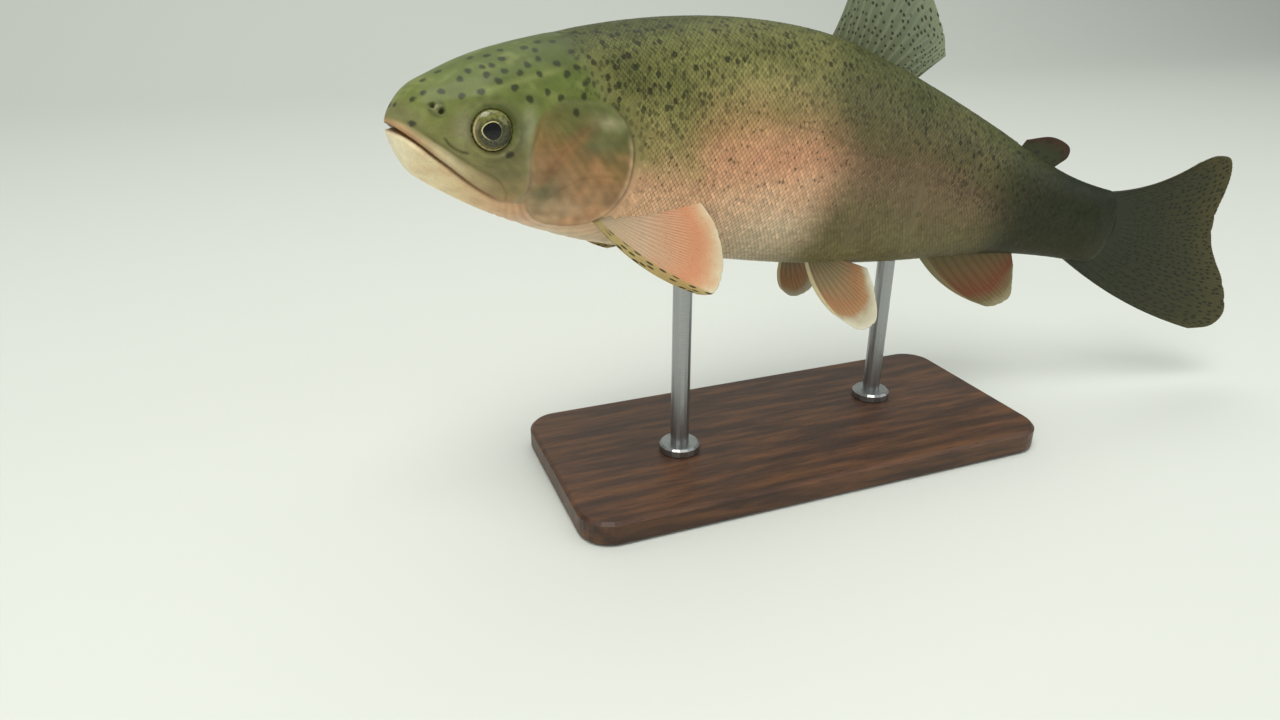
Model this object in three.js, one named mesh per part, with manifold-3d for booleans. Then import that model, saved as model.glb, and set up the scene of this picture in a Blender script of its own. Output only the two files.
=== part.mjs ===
// Rainbow trout, life size, swimming in a gentle bend, held over a flat base by two short rods.
// Millimetres, +Z up, origin on the floor under the middle of the whole.
// The fish is drawn straight first: x runs back from the snout, y is its right, z is up.
// Every piece is cut in that straight frame and then laid along the bent line of the back.
import * as THREE from "three";
import { mergeVertices } from "three/addons/utils/BufferGeometryUtils.js";
import Module from "manifold-3d";

const wasm = await Module();
wasm.setup();

// ---------- driving sizes ----------
const BODY_LENGTH = 410; // snout to the end of the flesh
const SEAM = 0.3; // gap left between neighbouring pieces
const NOSE_TIP = 1.8; // where the blunt nose begins
const NOSE_ROUND = 13; // how far back it is rounded
const NOSE_HEIGHT = -0.9; // height of the snout tip
const ROUNDNESS = 2.25; // exponent of the cross-section, 2 is an ellipse

// Side and top profiles: [distance from snout, size]
const BACK = [
  [0, 7.9], [12, 14.3], [28, 23], [66, 36.2], [120, 48.5], [153, 52.6], [190, 53.7],
  [227, 49.6], [302, 35.8], [335, 27.5], [360, 22.2], [381, 19.9], [410, 19.5],
];
const BELLY = [
  [0, -9.6], [12, -18.5], [28, -26.4], [66, -39.1], [120, -47.4], [190, -50],
  [227, -47.6], [265, -42.2], [302, -34], [335, -25.8], [360, -22.6], [410, -22],
];
const HALF_WIDTH = [
  [0, 8.7], [12, 13.8], [28, 20.3], [45, 23.2], [90, 26.6], [153, 30.7], [190, 31.1],
  [227, 29], [265, 24.9], [302, 19.1], [335, 13.7], [360, 10.4], [381, 7.8], [400, 4.4], [410, 2.6],
];

// The bend: [distance from snout, degrees]. Heading swings the fish sideways, pitch lifts it.
const HEADING = [[0, 10.5], [86.3, 10.5], [161, 8.5], [235.7, 6], [310.4, -7], [385.1, -11], [484.7, -13]];
const PITCH = [[0, -8], [86.3, -8], [161, -11], [235.7, -14.5], [310.4, -15.5], [385.1, -12], [484.7, 4]];
const SNOUT = [-234.4, -28.7, 180];

// Lengths of the trunk, cut square across
const GILL_CUT = 78;
const MID_CUT = 190;
const STALK_CUT = 302;

// Gill cover: a bony plate, its reach each way from its middle
const GILL = { x: 66, z: -9, back: 22.5, front: 20, up: 23, down: 25, bulge: 2.3, thick: 2.2 };

// Mouth line and lower jaw
const MOUTH = [[-6, -1.2], [0, -1.7], [4, -2.8], [17, -11.1], [30, -19.7], [40, -24.8]];
const JAW_END = 43;
const JAW_HEEL = 49;
const MAXILLA = { from: 5, to: 41, narrow: 2.2, wide: 5.2, thick: 1.5 };

// Eye
const EYE = { x: 34, y: 16.6, z: 0.9, radius: 8, depth: 5.6, turn: 7 };

// Fins. root and tip run from the leading ray to the last ray; bow curves the rays.
const DORSAL = {
  root: [[194, 50], [220, 47], [246, 42]],
  tip: [[199, 92], [210, 97.5], [234, 89], [256, 71], [262, 60]],
  bow: [2, 1, 0], thick: [2.6, 0.8], across: 12, along: 4,
};
const ADIPOSE = {
  root: [[322, 26], [334, 23], [345, 21]],
  tip: [[325, 34], [339, 38.5], [351, 36.5], [353.5, 31], [349, 26]],
  bow: [0, 0, 0], thick: [3.2, 1.4], across: 8, along: 3,
};
const ANAL = {
  root: [[284, -34], [314, -27], [341, -20]],
  tip: [[336, -55.5], [344.5, -56], [353, -49], [352, -40], [348, -31]],
  bow: [4, 0.5, 0], thick: [2.4, 0.8], across: 10, along: 4,
};
const CAUDAL = {
  root: [[383, 18.4], [399, 12], [406, 3], [406, -4], [397, -13], [373, -21]],
  tip: [[447, 43.6], [465.5, 41.5], [461, 14], [463, -6], [475.5, -27], [482.5, -51], [466, -58.8]],
  bow: [3.2, 1.5, 0, 0, 1, 0.5], thick: [3.6, 0.9], across: 18, along: 6,
};
const PECTORAL = {
  root: [[78, -31.5], [82, -28.5], [85, -24]],
  tip: [[121, -56.5], [128.5, -55], [133, -45], [130, -31], [122, -19]],
  bow: [4.2, 2, 0], thick: [2.4, 0.8], across: 10, along: 4,
  from: { x: 82, y: 18.2, z: -30 }, flare: 15, lean: 20,
};
const PELVIC = {
  root: [[204, -43], [210, -42.5], [216, -42]],
  tip: [[222, -69], [237, -74], [247.5, -68.5], [245, -56], [240, -45]],
  bow: [4, 1, 0], thick: [2.2, 0.8], across: 8, along: 4,
  from: { x: 210, y: 9, z: -44 }, flare: 15, lean: 20,
};

// Stand
const BASE = { x: -47, y: 0, length: 250, width: 110, height: 12, corner: 14, edge: 1.5 };
const ROD_RADIUS = 4.5;
const COLLAR = { radius: 10, height: 4 };
const ROD_AT = [138, 268]; // distances from the snout

// ---------- curves ----------
// Smooth curve through knots, with slopes from the neighbours on each side.
function curve(knots, x) {
  const n = knots.length;
  const step = (i) => (knots[i + 1][1] - knots[i][1]) / (knots[i + 1][0] - knots[i][0]);
  const slope = (i) => {
    if (i === 0) return step(0);
    if (i === n - 1) return step(n - 2);
    const before = knots[i][0] - knots[i - 1][0];
    const after = knots[i + 1][0] - knots[i][0];
    return (step(i - 1) * after + step(i) * before) / (before + after);
  };
  let i = 0;
  while (i < n - 2 && x >= knots[i + 1][0]) i++;
  const h = knots[i + 1][0] - knots[i][0];
  const t = Math.min(1, Math.max(0, (x - knots[i][0]) / h));
  const a = knots[i][1] * (1 + 2 * t) * (1 - t) ** 2 + knots[i + 1][1] * t * t * (3 - 2 * t);
  return a + slope(i) * h * t * (1 - t) ** 2 + slope(i + 1) * h * t * t * (t - 1);
}

// The same curve through evenly spaced values, u from 0 to 1.
const even = (values, u) => curve(values.map((v, i) => [i / (values.length - 1), v]), u);
const evenPoint = (points, u) => [even(points.map((p) => p[0]), u), even(points.map((p) => p[1]), u)];

const noseRound = (x) => {
  const t = Math.min(Math.max((x - NOSE_TIP) / (NOSE_ROUND - NOSE_TIP), 0), 1);
  return Math.sqrt(1 - (1 - t) ** 2);
};

// Half width and the two heights of the flesh at x, drawn in by inset.
function girth(x, inset) {
  const r = noseRound(x);
  return {
    half: curve(HALF_WIDTH, x) * r - inset,
    top: NOSE_HEIGHT + (curve(BACK, x) - NOSE_HEIGHT) * r - inset,
    low: NOSE_HEIGHT + (curve(BELLY, x) - NOSE_HEIGHT) * r + inset,
  };
}

const signedPower = (v, e) => Math.sign(v) * Math.abs(v) ** e;

// ---------- solids ----------
function solidFrom(points, faces) {
  return new wasm.Manifold(
    new wasm.Mesh({
      numProp: 3,
      vertProperties: new Float32Array(points.flat()),
      triVerts: new Uint32Array(faces.flat()),
    }),
  );
}

function solidOf(geometry) {
  const bare = geometry.clone();
  bare.deleteAttribute("normal");
  bare.deleteAttribute("uv");
  const merged = mergeVertices(bare, 1e-4);
  return new wasm.Manifold(
    new wasm.Mesh({
      numProp: 3,
      vertProperties: merged.attributes.position.array,
      triVerts: new Uint32Array(merged.index.array),
    }),
  );
}

// A tube of equal rings closed by a point at each end.
function tubeSolid(rings, first, last) {
  const n = rings[0].length;
  const points = [first, ...rings.flat(), last];
  const faces = [];
  const at = (r, k) => 1 + r * n + (k % n);
  for (let k = 0; k < n; k++) {
    faces.push([0, at(0, k + 1), at(0, k)]);
    faces.push([points.length - 1, at(rings.length - 1, k), at(rings.length - 1, k + 1)]);
    for (let r = 0; r < rings.length - 1; r++) {
      faces.push([at(r, k), at(r, k + 1), at(r + 1, k + 1)]);
      faces.push([at(r, k), at(r + 1, k + 1), at(r + 1, k)]);
    }
  }
  return solidFrom(points, faces);
}

// The straight flesh of the fish through the given stations, drawn in by inset.
function fleshSolid(inset, stations, around) {
  const rings = stations.map((x) => {
    const g = girth(x, inset);
    const middle = (g.top + g.low) / 2;
    const tall = (g.top - g.low) / 2;
    return Array.from({ length: around }, (_, k) => {
      const a = (2 * Math.PI * k) / around;
      const y = g.half * signedPower(Math.cos(a), 2 / ROUNDNESS);
      return [x, y, middle + tall * signedPower(Math.sin(a), 2 / ROUNDNESS)];
    });
  });
  const a = stations[0];
  const b = stations[stations.length - 1];
  const noseTip = inset > 0 ? a : NOSE_TIP;
  return tubeSolid(rings, [noseTip, 0, NOSE_HEIGHT], [b, 0, (girth(b, inset).top + girth(b, inset).low) / 2]);
}

function stationsFrom(list) {
  const out = [];
  for (const [from, to, count] of list)
    for (let i = 0; i < count; i++) out.push(from + ((to - from) * i) / count);
  return out.concat(list[list.length - 1][1]);
}
const NOSE_STATIONS = [4.1, 5.2, 7.2, 10];
const STATIONS = [...NOSE_STATIONS, ...stationsFrom([[14, 93, 11], [93, 303, 14], [303, BODY_LENGTH, 8]])];
const AROUND = 32;
const flesh = fleshSolid(0, STATIONS, AROUND);

// A prism across the fish from an outline in the side view, from y = left to y = right.
function prism(outline, left, right) {
  const shape = new THREE.Shape(outline.map(([x, z]) => new THREE.Vector2(x, z)));
  const body = new THREE.ExtrudeGeometry(shape, { depth: right - left, bevelEnabled: false });
  body.rotateX(Math.PI / 2); // outline up, depth towards -y
  body.translate(0, right, 0);
  return solidOf(body);
}

function slab(from, to) {
  return prism([[from, -90], [to, -90], [to, 90], [from, 90]], -60, 60);
}

// A fin: rays from root to tip, thick at the root and thin at the edge.
function finSolid(fin, place) {
  const { across, along } = fin;
  const [rootThick, edgeThick] = fin.thick;
  const sides = [-1, 1].map((side) => {
    const grid = [];
    for (let i = 0; i <= across; i++)
      for (let j = 0; j <= along; j++) {
        const u = i / across;
        const v = j / along;
        const root = evenPoint(fin.root, u);
        const tip = evenPoint(fin.tip, u);
        const reach = Math.hypot(tip[0] - root[0], tip[1] - root[1]);
        const bend = (even(fin.bow, u) * 4 * v * (1 - v)) / reach;
        const x = root[0] + (tip[0] - root[0]) * v + (tip[1] - root[1]) * bend;
        const z = root[1] + (tip[1] - root[1]) * v - (tip[0] - root[0]) * bend;
        const rim = i === 0 || i === across ? 0.8 : 1;
        const thick = (rootThick + (edgeThick - rootThick) * Math.sqrt(v)) * rim;
        grid.push(place(x, (side * thick) / 2, z));
      }
    return grid;
  });
  const row = along + 1;
  const count = sides[0].length;
  const faces = [];
  const quad = (a, b, c, d) => faces.push([a, b, c], [a, c, d]);
  for (let i = 0; i < across; i++)
    for (let j = 0; j < along; j++) {
      const a = i * row + j;
      quad(a, a + row, a + row + 1, a + 1);
      quad(count + a, count + a + 1, count + a + row + 1, count + a + row);
    }
  for (let i = 0; i < across; i++) {
    const a = i * row;
    quad(a, count + a, count + a + row, a + row);
    quad(a + along, a + along + row, count + a + along + row, count + a + along);
  }
  for (let j = 0; j < along; j++) {
    const b = across * row + j;
    quad(j, j + 1, count + j + 1, count + j);
    quad(b, count + b, count + b + 1, b + 1);
  }
  const points = [...sides[0], ...sides[1]];
  const made = solidFrom(points, faces);
  return made.volume() > 0 ? made : solidFrom(points, faces.map(([a, b, c]) => [a, c, b]));
}

const midline = (x, t, z) => [x, t, z];
const radians = (degrees) => (degrees * Math.PI) / 180;

// Puts a paired fin on one flank: flared out to the back and leaned out below.
function flank(fin, side) {
  const { x: x0, y: y0, z: z0 } = fin.from;
  const out = Math.tan(radians(fin.flare));
  const lean = Math.tan(radians(fin.lean));
  return (x, t, z) => [x, side * (y0 + (x - x0) * out - (z - z0) * lean + t), z];
}

// ---------- the bent line of the back ----------
const SPINE_STEP = 2;
const spine = [];
{
  const at = new THREE.Vector3(...SNOUT);
  for (let x = 0; x <= 500; x += SPINE_STEP) {
    const h = radians(curve(HEADING, x));
    const p = radians(curve(PITCH, x));
    const along = new THREE.Vector3(Math.cos(h) * Math.cos(p), Math.sin(h) * Math.cos(p), Math.sin(p));
    const right = new THREE.Vector3(-Math.sin(h), Math.cos(h), 0);
    const up = new THREE.Vector3().crossVectors(along, right);
    if (spine.length) {
      const mean = along.clone().add(spine[spine.length - 1].along).multiplyScalar(SPINE_STEP / 2);
      at.add(mean);
    }
    spine.push({ at: at.clone(), along, right, up });
  }
}

function bend(x, y, z) {
  const f = Math.min(Math.max(x / SPINE_STEP, 0), spine.length - 1.001);
  const i = Math.floor(f);
  const t = f - i;
  const mix = (key) => spine[i][key].clone().lerp(spine[i + 1][key], t);
  const over = x - f * SPINE_STEP; // anything ahead of the snout keeps its heading
  const p = mix("at").addScaledVector(mix("along"), over);
  return p.addScaledVector(mix("right"), y).addScaledVector(mix("up"), z);
}

// ---------- pieces ----------
const group = new THREE.Group();
group.name = "rainbow_trout";

function addMesh(name, solid, material, bent) {
  const mesh = solid.getMesh();
  const place = new Float32Array(mesh.numVert * 3);
  for (let i = 0; i < mesh.numVert; i++) {
    const p = Array.from(mesh.vertProperties.subarray(i * mesh.numProp, i * mesh.numProp + 3));
    place.set(bent ? bend(...p).toArray() : p, i * 3);
  }
  const geometry = new THREE.BufferGeometry();
  geometry.setAttribute("position", new THREE.BufferAttribute(place, 3));
  geometry.setIndex(new THREE.BufferAttribute(mesh.triVerts, 1));
  geometry.computeVertexNormals();
  const piece = new THREE.Mesh(geometry, new THREE.MeshStandardMaterial(material));
  piece.name = name;
  group.add(piece);
}

const HEAD_SKIN = { color: 0x6f7444, roughness: 0.4, metalness: 0.1 };
const JAW_SKIN = { color: 0xc9bfa0, roughness: 0.45, metalness: 0.05 };
const PLATE_SKIN = { color: 0xa8794f, roughness: 0.35, metalness: 0.2 };
const FLANK_SKIN = { color: 0x8c8257, roughness: 0.4, metalness: 0.15 };
const STALK_SKIN = { color: 0x5b6140, roughness: 0.4, metalness: 0.15 };
const EYE_GLASS = { color: 0x2a2a1c, roughness: 0.1, metalness: 0 };
const DARK_FIN = { color: 0x565a3a, roughness: 0.5, metalness: 0 };
const WARM_FIN = { color: 0xb57a4e, roughness: 0.5, metalness: 0 };
const STAND_PAINT = { color: 0x3a3a38, roughness: 0.6, metalness: 0.1 };

// Gill plate outline in the side view, grown by a margin
function gillOutline(grow) {
  const out = [];
  const count = 26;
  for (let k = 0; k < count; k++) {
    const a = (2 * Math.PI * k) / count;
    const rx = (Math.cos(a) > 0 ? GILL.back : GILL.front) + grow;
    const rz = (Math.sin(a) > 0 ? GILL.up : GILL.down) + grow;
    const r = (Math.abs(Math.cos(a) / rx) ** GILL.bulge + Math.abs(Math.sin(a) / rz) ** GILL.bulge);
    const reach = r ** (-1 / GILL.bulge);
    out.push([GILL.x + reach * Math.cos(a), GILL.z + reach * Math.sin(a)]);
  }
  return out;
}

// Lower jaw outline in the side view, grown by a margin
function jawOutline(grow) {
  const line = [];
  for (let x = -6; x <= 40; x += 4.6) line.push([x, curve(MOUTH, x) + grow]);
  return [...line, [JAW_END + grow, -28 + grow], [JAW_HEEL + grow, -60], [-6, -60]];
}

// Upper jaw plate outline: a strip along the mouth, widening to a round end
function maxillaOutline(grow) {
  const upper = [];
  const lower = [];
  const { from, to, narrow, wide } = MAXILLA;
  for (let i = 0; i <= 8; i++) {
    const t = i / 8;
    const x = from - grow + (to - from + 2 * grow) * t;
    const round = Math.sqrt(Math.max(0.02, 1 - Math.max(0, (t - 0.86) / 0.14) ** 2));
    const width = (narrow + (wide - narrow) * t) * round + 2 * grow;
    const middle = curve(MOUTH, Math.min(x, 40)) + 1.2 + (narrow + (wide - narrow) * t) / 2;
    upper.push([x, middle + width / 2]);
    lower.push([x, middle - width / 2]);
  }
  return [...lower, ...upper.reverse()];
}

const DEEP_STATIONS = [2.5, 9, 23, 37, 51, 65, 79, 97];
const DEEP_AROUND = 24;
const deepGill = fleshSolid(GILL.thick, DEEP_STATIONS, DEEP_AROUND);
const deepGillGap = fleshSolid(GILL.thick + SEAM, DEEP_STATIONS, DEEP_AROUND);
const deepLip = fleshSolid(MAXILLA.thick, DEEP_STATIONS, DEEP_AROUND);
const deepLipGap = fleshSolid(MAXILLA.thick + SEAM, DEEP_STATIONS, DEEP_AROUND);

// Eyes: flattened globes set in sockets, turned a little forward
function eyeSolid(side, grow) {
  const ball = new THREE.SphereGeometry(1, 16, 10);
  ball.rotateX(Math.PI / 2);
  ball.scale(EYE.radius + grow, EYE.depth + grow, EYE.radius + grow);
  ball.rotateZ(radians(side * EYE.turn));
  ball.translate(EYE.x, side * EYE.y, EYE.z);
  return solidOf(ball);
}

const SIDES = [["left", -1], ["right", 1]];
let head = flesh.intersect(slab(-20, GILL_CUT - SEAM / 2)).subtract(prism(jawOutline(SEAM), -60, 60));
let trunk = flesh.intersect(slab(GILL_CUT + SEAM / 2, MID_CUT - SEAM / 2));
const jaw = flesh.intersect(prism(jawOutline(0), -60, 60));

for (const [word, side] of SIDES) {
  const span = side < 0 ? [-60, -3] : [3, 60];
  const plate = prism(gillOutline(0), ...span).intersect(flesh).subtract(deepGill);
  addMesh(`gill_cover_${word}`, plate, PLATE_SKIN, true);
  const recess = prism(gillOutline(SEAM), ...span).subtract(deepGillGap);
  head = head.subtract(recess);
  trunk = trunk.subtract(recess);

  const eye = eyeSolid(side, 0);
  addMesh(`eye_${word}`, eye, EYE_GLASS, true);
  head = head.subtract(eyeSolid(side, SEAM));

  const lip = prism(maxillaOutline(0), ...span).intersect(flesh).subtract(deepLip);
  addMesh(`maxilla_${word}`, lip, JAW_SKIN, true);
  head = head.subtract(prism(maxillaOutline(SEAM), ...span).subtract(deepLipGap));
}

addMesh("head", head, HEAD_SKIN, true);
addMesh("lower_jaw", jaw, JAW_SKIN, true);
addMesh("trunk_front", trunk, FLANK_SKIN, true);
addMesh("trunk_rear", flesh.intersect(slab(MID_CUT + SEAM / 2, STALK_CUT - SEAM / 2)), FLANK_SKIN, true);

// The tail fin's root sits in a slot in the end of the stalk
const stalkWhole = flesh.intersect(slab(STALK_CUT + SEAM / 2, BODY_LENGTH + 5));
const fleshGap = fleshSolid(-SEAM, STATIONS, AROUND);
const tailFin = finSolid(CAUDAL, midline).subtract(fleshGap);
addMesh("tail_stalk", stalkWhole, STALK_SKIN, true);
addMesh("tail_fin", tailFin, DARK_FIN, true);

addMesh("dorsal_fin", finSolid(DORSAL, midline).subtract(fleshGap), DARK_FIN, true);
addMesh("adipose_fin", finSolid(ADIPOSE, midline).subtract(fleshGap), DARK_FIN, true);
addMesh("anal_fin", finSolid(ANAL, midline).subtract(fleshGap), WARM_FIN, true);
for (const [word, side] of SIDES) {
  addMesh(`pectoral_fin_${word}`, finSolid(PECTORAL, flank(PECTORAL, side)).subtract(fleshGap), WARM_FIN, true);
  addMesh(`pelvic_fin_${word}`, finSolid(PELVIC, flank(PELVIC, side)).subtract(fleshGap), WARM_FIN, true);
}

// ---------- stand ----------
function roundedPlate({ x, y, length, width, height, corner, edge }) {
  const l = length / 2 - edge;
  const w = width / 2 - edge;
  const shape = new THREE.Shape();
  shape.moveTo(-l + corner, -w);
  shape.lineTo(l - corner, -w);
  shape.absarc(l - corner, -w + corner, corner, -Math.PI / 2, 0, false);
  shape.absarc(l - corner, w - corner, corner, 0, Math.PI / 2, false);
  shape.absarc(-l + corner, w - corner, corner, Math.PI / 2, Math.PI, false);
  shape.absarc(-l + corner, -w + corner, corner, Math.PI, 1.5 * Math.PI, false);
  const plate = new THREE.ExtrudeGeometry(shape, {
    depth: height - 2 * edge,
    bevelThickness: edge,
    bevelSize: edge,
    bevelSegments: 1,
    curveSegments: 4,
  });
  plate.translate(x, y, edge);
  return solidOf(plate);
}

// The fish's flesh as bent, a little grown, to end the rods just under the belly
const bentMesh = fleshGap.getMesh();
const bentPoints = [];
for (let i = 0; i < bentMesh.numVert; i++) {
  const p = bentMesh.vertProperties.subarray(i * bentMesh.numProp, i * bentMesh.numProp + 3);
  bentPoints.push(bend(...p).toArray());
}
const bentFaces = [];
for (let i = 0; i < bentMesh.numTri; i++) bentFaces.push(Array.from(bentMesh.triVerts.subarray(3 * i, 3 * i + 3)));
const bentFlesh = solidFrom(bentPoints, bentFaces);

function rodSolid(x) {
  const foot = bend(x, 0, girth(x, 0).low);
  const top = foot.z + 12;
  const floor = BASE.height + SEAM;
  const profile = [
    [0, floor], [COLLAR.radius, floor], [COLLAR.radius, floor + COLLAR.height - 1],
    [COLLAR.radius - 1, floor + COLLAR.height], [ROD_RADIUS, floor + COLLAR.height],
    [ROD_RADIUS, top], [0, top],
  ];
  const rod = new THREE.LatheGeometry(profile.map(([r, z]) => new THREE.Vector2(r, z)), 16);
  rod.rotateX(Math.PI / 2);
  rod.translate(foot.x, foot.y, 0);
  return solidOf(rod).subtract(bentFlesh);
}

addMesh("stand_base", roundedPlate(BASE), STAND_PAINT, false);
addMesh("stand_rod_front", rodSolid(ROD_AT[0]), STAND_PAINT, false);
addMesh("stand_rod_rear", rodSolid(ROD_AT[1]), STAND_PAINT, false);

export default group;
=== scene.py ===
import math

import bpy
import numpy as np
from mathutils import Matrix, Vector


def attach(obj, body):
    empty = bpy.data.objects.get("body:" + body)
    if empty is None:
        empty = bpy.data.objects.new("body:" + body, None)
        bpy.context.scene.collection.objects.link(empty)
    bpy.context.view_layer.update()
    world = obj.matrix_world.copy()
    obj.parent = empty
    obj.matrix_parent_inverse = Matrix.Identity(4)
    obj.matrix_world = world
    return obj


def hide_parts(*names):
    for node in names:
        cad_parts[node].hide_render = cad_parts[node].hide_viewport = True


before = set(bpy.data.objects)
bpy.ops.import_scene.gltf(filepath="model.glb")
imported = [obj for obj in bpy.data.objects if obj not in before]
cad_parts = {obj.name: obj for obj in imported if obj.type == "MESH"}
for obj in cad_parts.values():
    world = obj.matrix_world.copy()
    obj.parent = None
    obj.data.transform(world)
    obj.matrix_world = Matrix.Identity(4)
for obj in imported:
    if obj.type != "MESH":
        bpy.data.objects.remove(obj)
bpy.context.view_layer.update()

# ----------------------------------------
# Studio: a pale paper sweep under and behind the trout, one large soft lamp above
# and ahead of it, two weaker ones at the sides, and a camera close in front of the
# left flank, a little above the back and looking slightly down.
# ----------------------------------------
CAMERA_AT = (-0.2585, -0.3422, 0.2238)
CAMERA_DOWN = 24.0
CAMERA_RIGHT = 21.0
CAMERA_LENS = 24.0


def show(name, data):
    """A new object for a mesh, a lamp or a camera, shown in the scene."""
    thing = bpy.data.objects.new(name, data)
    bpy.context.scene.collection.objects.link(thing)
    return thing


lens = bpy.data.cameras.new("studio_camera")
lens.lens = CAMERA_LENS
lens.sensor_width = 36.0
lens.clip_start = 0.01
camera = show("studio_camera", lens)
camera.location = CAMERA_AT
camera.rotation_euler = (math.radians(90 - CAMERA_DOWN), 0, math.radians(-CAMERA_RIGHT))
bpy.context.scene.camera = camera
bpy.context.scene.view_settings.view_transform = "Standard"


def soft_lamp(name, place, target, size, watts, tint):
    """A square soft lamp at place, turned to face target."""
    lamp = bpy.data.lights.new(name, "AREA")
    lamp.shape = "SQUARE"
    lamp.size = size
    lamp.energy = watts
    lamp.color = tint
    holder = show(name, lamp)
    holder.location = place
    aim = Vector(target) - Vector(place)
    holder.rotation_euler = aim.to_track_quat("-Z", "Y").to_euler()


FLANK_MIDDLE = (-0.05, -0.02, 0.14)
soft_lamp("lamp_above", (-0.4, -0.5, 1.3), FLANK_MIDDLE, 0.7, 10.0, (1.0, 0.985, 0.94))
soft_lamp("lamp_left", (-1.4, -1.1, 0.6), FLANK_MIDDLE, 0.9, 4.5, (1.0, 0.97, 0.93))
soft_lamp("lamp_right", (1.3, -0.9, 0.8), FLANK_MIDDLE, 0.9, 4.0, (0.95, 0.98, 1.0))
soft_lamp("lamp_ceiling", (0.2, 0.6, 3.0), (0.2, 0.9, 0.0), 3.4, 62.0, (1.0, 1.0, 0.98))

world = bpy.data.worlds.new("studio_air")
world.use_nodes = True
world.node_tree.nodes["Background"].inputs["Color"].default_value = (0.92, 0.95, 0.93, 1)
world.node_tree.nodes["Background"].inputs["Strength"].default_value = 0.40
bpy.context.scene.world = world


def store_values(mesh, values):
    """Keeps values on a mesh's points by name: an array of numbers or of vectors each."""
    for key, array in values.items():
        kind, part = ("FLOAT", "value") if np.ndim(array) == 1 else ("FLOAT_VECTOR", "vector")
        layer = mesh.attributes.get(key) or mesh.attributes.new(key, kind, "POINT")
        layer.data.foreach_set(part, np.asarray(array, np.float32).ravel())


def mesh_object(name, points, faces, values=None, corners=None):
    """A smooth mesh from metre points, with point values and the bake map per corner."""
    mesh = bpy.data.meshes.new(name)
    faces = [np.asarray(f, np.int32) for f in faces]
    mesh.vertices.add(len(points))
    mesh.vertices.foreach_set("co", np.asarray(points, np.float32).ravel())
    loops = np.concatenate([f.ravel() for f in faces])
    sizes = np.concatenate([np.full(len(f), f.shape[1], np.int32) for f in faces])
    mesh.loops.add(len(loops))
    mesh.loops.foreach_set("vertex_index", loops)
    mesh.polygons.add(len(sizes))
    mesh.polygons.foreach_set("loop_start", np.concatenate([[0], np.cumsum(sizes)[:-1]]).astype(np.int32))
    mesh.update(calc_edges=True)
    mesh.validate()
    mesh.polygons.foreach_set("use_smooth", np.ones(len(mesh.polygons), bool))
    store_values(mesh, values or {})
    if corners is not None:
        mesh.uv_layers.new(name="OFBake").data.foreach_set("uv", np.asarray(corners, np.float32).ravel())
    return show(name, mesh)


# The sweep runs flat under the object, then curves up a long way behind it
sweep_line = [(-3.0, 0.0), (1.6, 0.0)]
sweep_line += [(1.6 + 1.2 * math.sin(a), 1.2 - 1.2 * math.cos(a)) for a in np.linspace(0.1, math.pi / 2, 15)]
sweep_line += [(2.8, 3.2)]
sweep_points = [(x, y, z - 0.0003) for y, z in sweep_line for x in (-5.0, 5.0)]
sweep_faces = [(2 * i, 2 * i + 1, 2 * i + 3, 2 * i + 2) for i in range(len(sweep_line) - 1)]
sweep = mesh_object("paper_sweep", sweep_points, [sweep_faces])
paper = bpy.data.materials.new("pale_paper")
paper.use_nodes = True
paper_shader = paper.node_tree.nodes["Principled BSDF"]
paper_shader.inputs["Base Color"].default_value = (0.62, 0.645, 0.60, 1)
paper_shader.inputs["Roughness"].default_value = 0.95
sweep.data.materials.append(paper)

# ----------------------------------------
# Line of the back: the trout swims in a gentle bend with its nose a little up. It is
# laid out straight first, in millimetres: x back from the snout, y to its right and
# z up. bent() then lays any straight point along the bent line, in metres.
# ----------------------------------------
HEADING = [(0, 10.5), (86.3, 10.5), (161, 8.5), (235.7, 6), (310.4, -7), (385.1, -11), (484.7, -13)]
PITCH = [(0, -8), (86.3, -8), (161, -11), (235.7, -14.5), (310.4, -15.5), (385.1, -12), (484.7, 4)]
SNOUT = (-234.4, -28.7, 180.0)
SPINE_STEP = 2.0


def curve(knots, x):
    """A smooth curve through knots, read at x."""
    k = np.asarray(knots, float)
    gap = np.diff(k[:, 0])
    rise = np.diff(k[:, 1]) / gap
    slope = np.empty(len(k))
    slope[0], slope[-1] = rise[0], rise[-1]
    slope[1:-1] = (rise[:-1] * gap[1:] + rise[1:] * gap[:-1]) / (gap[:-1] + gap[1:])
    x = np.asarray(x, float)
    i = np.clip(np.searchsorted(k[:, 0], x, side="right") - 1, 0, len(gap) - 1)
    t = np.clip((x - k[i, 0]) / gap[i], 0, 1)
    held = k[i, 1] * (1 + 2 * t) * (1 - t) ** 2 + k[i + 1, 1] * t * t * (3 - 2 * t)
    return held + gap[i] * (slope[i] * t * (1 - t) ** 2 + slope[i + 1] * t * t * (t - 1))


spine_x = np.arange(0, 500 + SPINE_STEP, SPINE_STEP)
heading, pitch = np.radians(curve(HEADING, spine_x)), np.radians(curve(PITCH, spine_x))
spine_along = np.stack([np.cos(heading) * np.cos(pitch), np.sin(heading) * np.cos(pitch), np.sin(pitch)], 1)
spine_right = np.stack([-np.sin(heading), np.cos(heading), 0 * heading], 1)
spine_up = np.cross(spine_along, spine_right)
spine_steps = (spine_along[1:] + spine_along[:-1]) * SPINE_STEP / 2
spine_at = np.vstack([[SNOUT], np.array(SNOUT) + np.cumsum(spine_steps, 0)])


def bent(points):
    """Straight points in millimetres, laid along the bent back, in metres."""
    p = np.asarray(points, float)
    f = np.clip(p[..., 0] / SPINE_STEP, 0, len(spine_x) - 1.001)
    i = f.astype(int)
    t = (f - i)[..., None]

    def between(table):
        return table[i] * (1 - t) + table[i + 1] * t

    over = (p[..., 0] - f * SPINE_STEP)[..., None]
    out = between(spine_at) + between(spine_along) * over
    out = out + between(spine_right) * p[..., 1:2] + between(spine_up) * p[..., 2:3]
    return out / 1000


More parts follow.
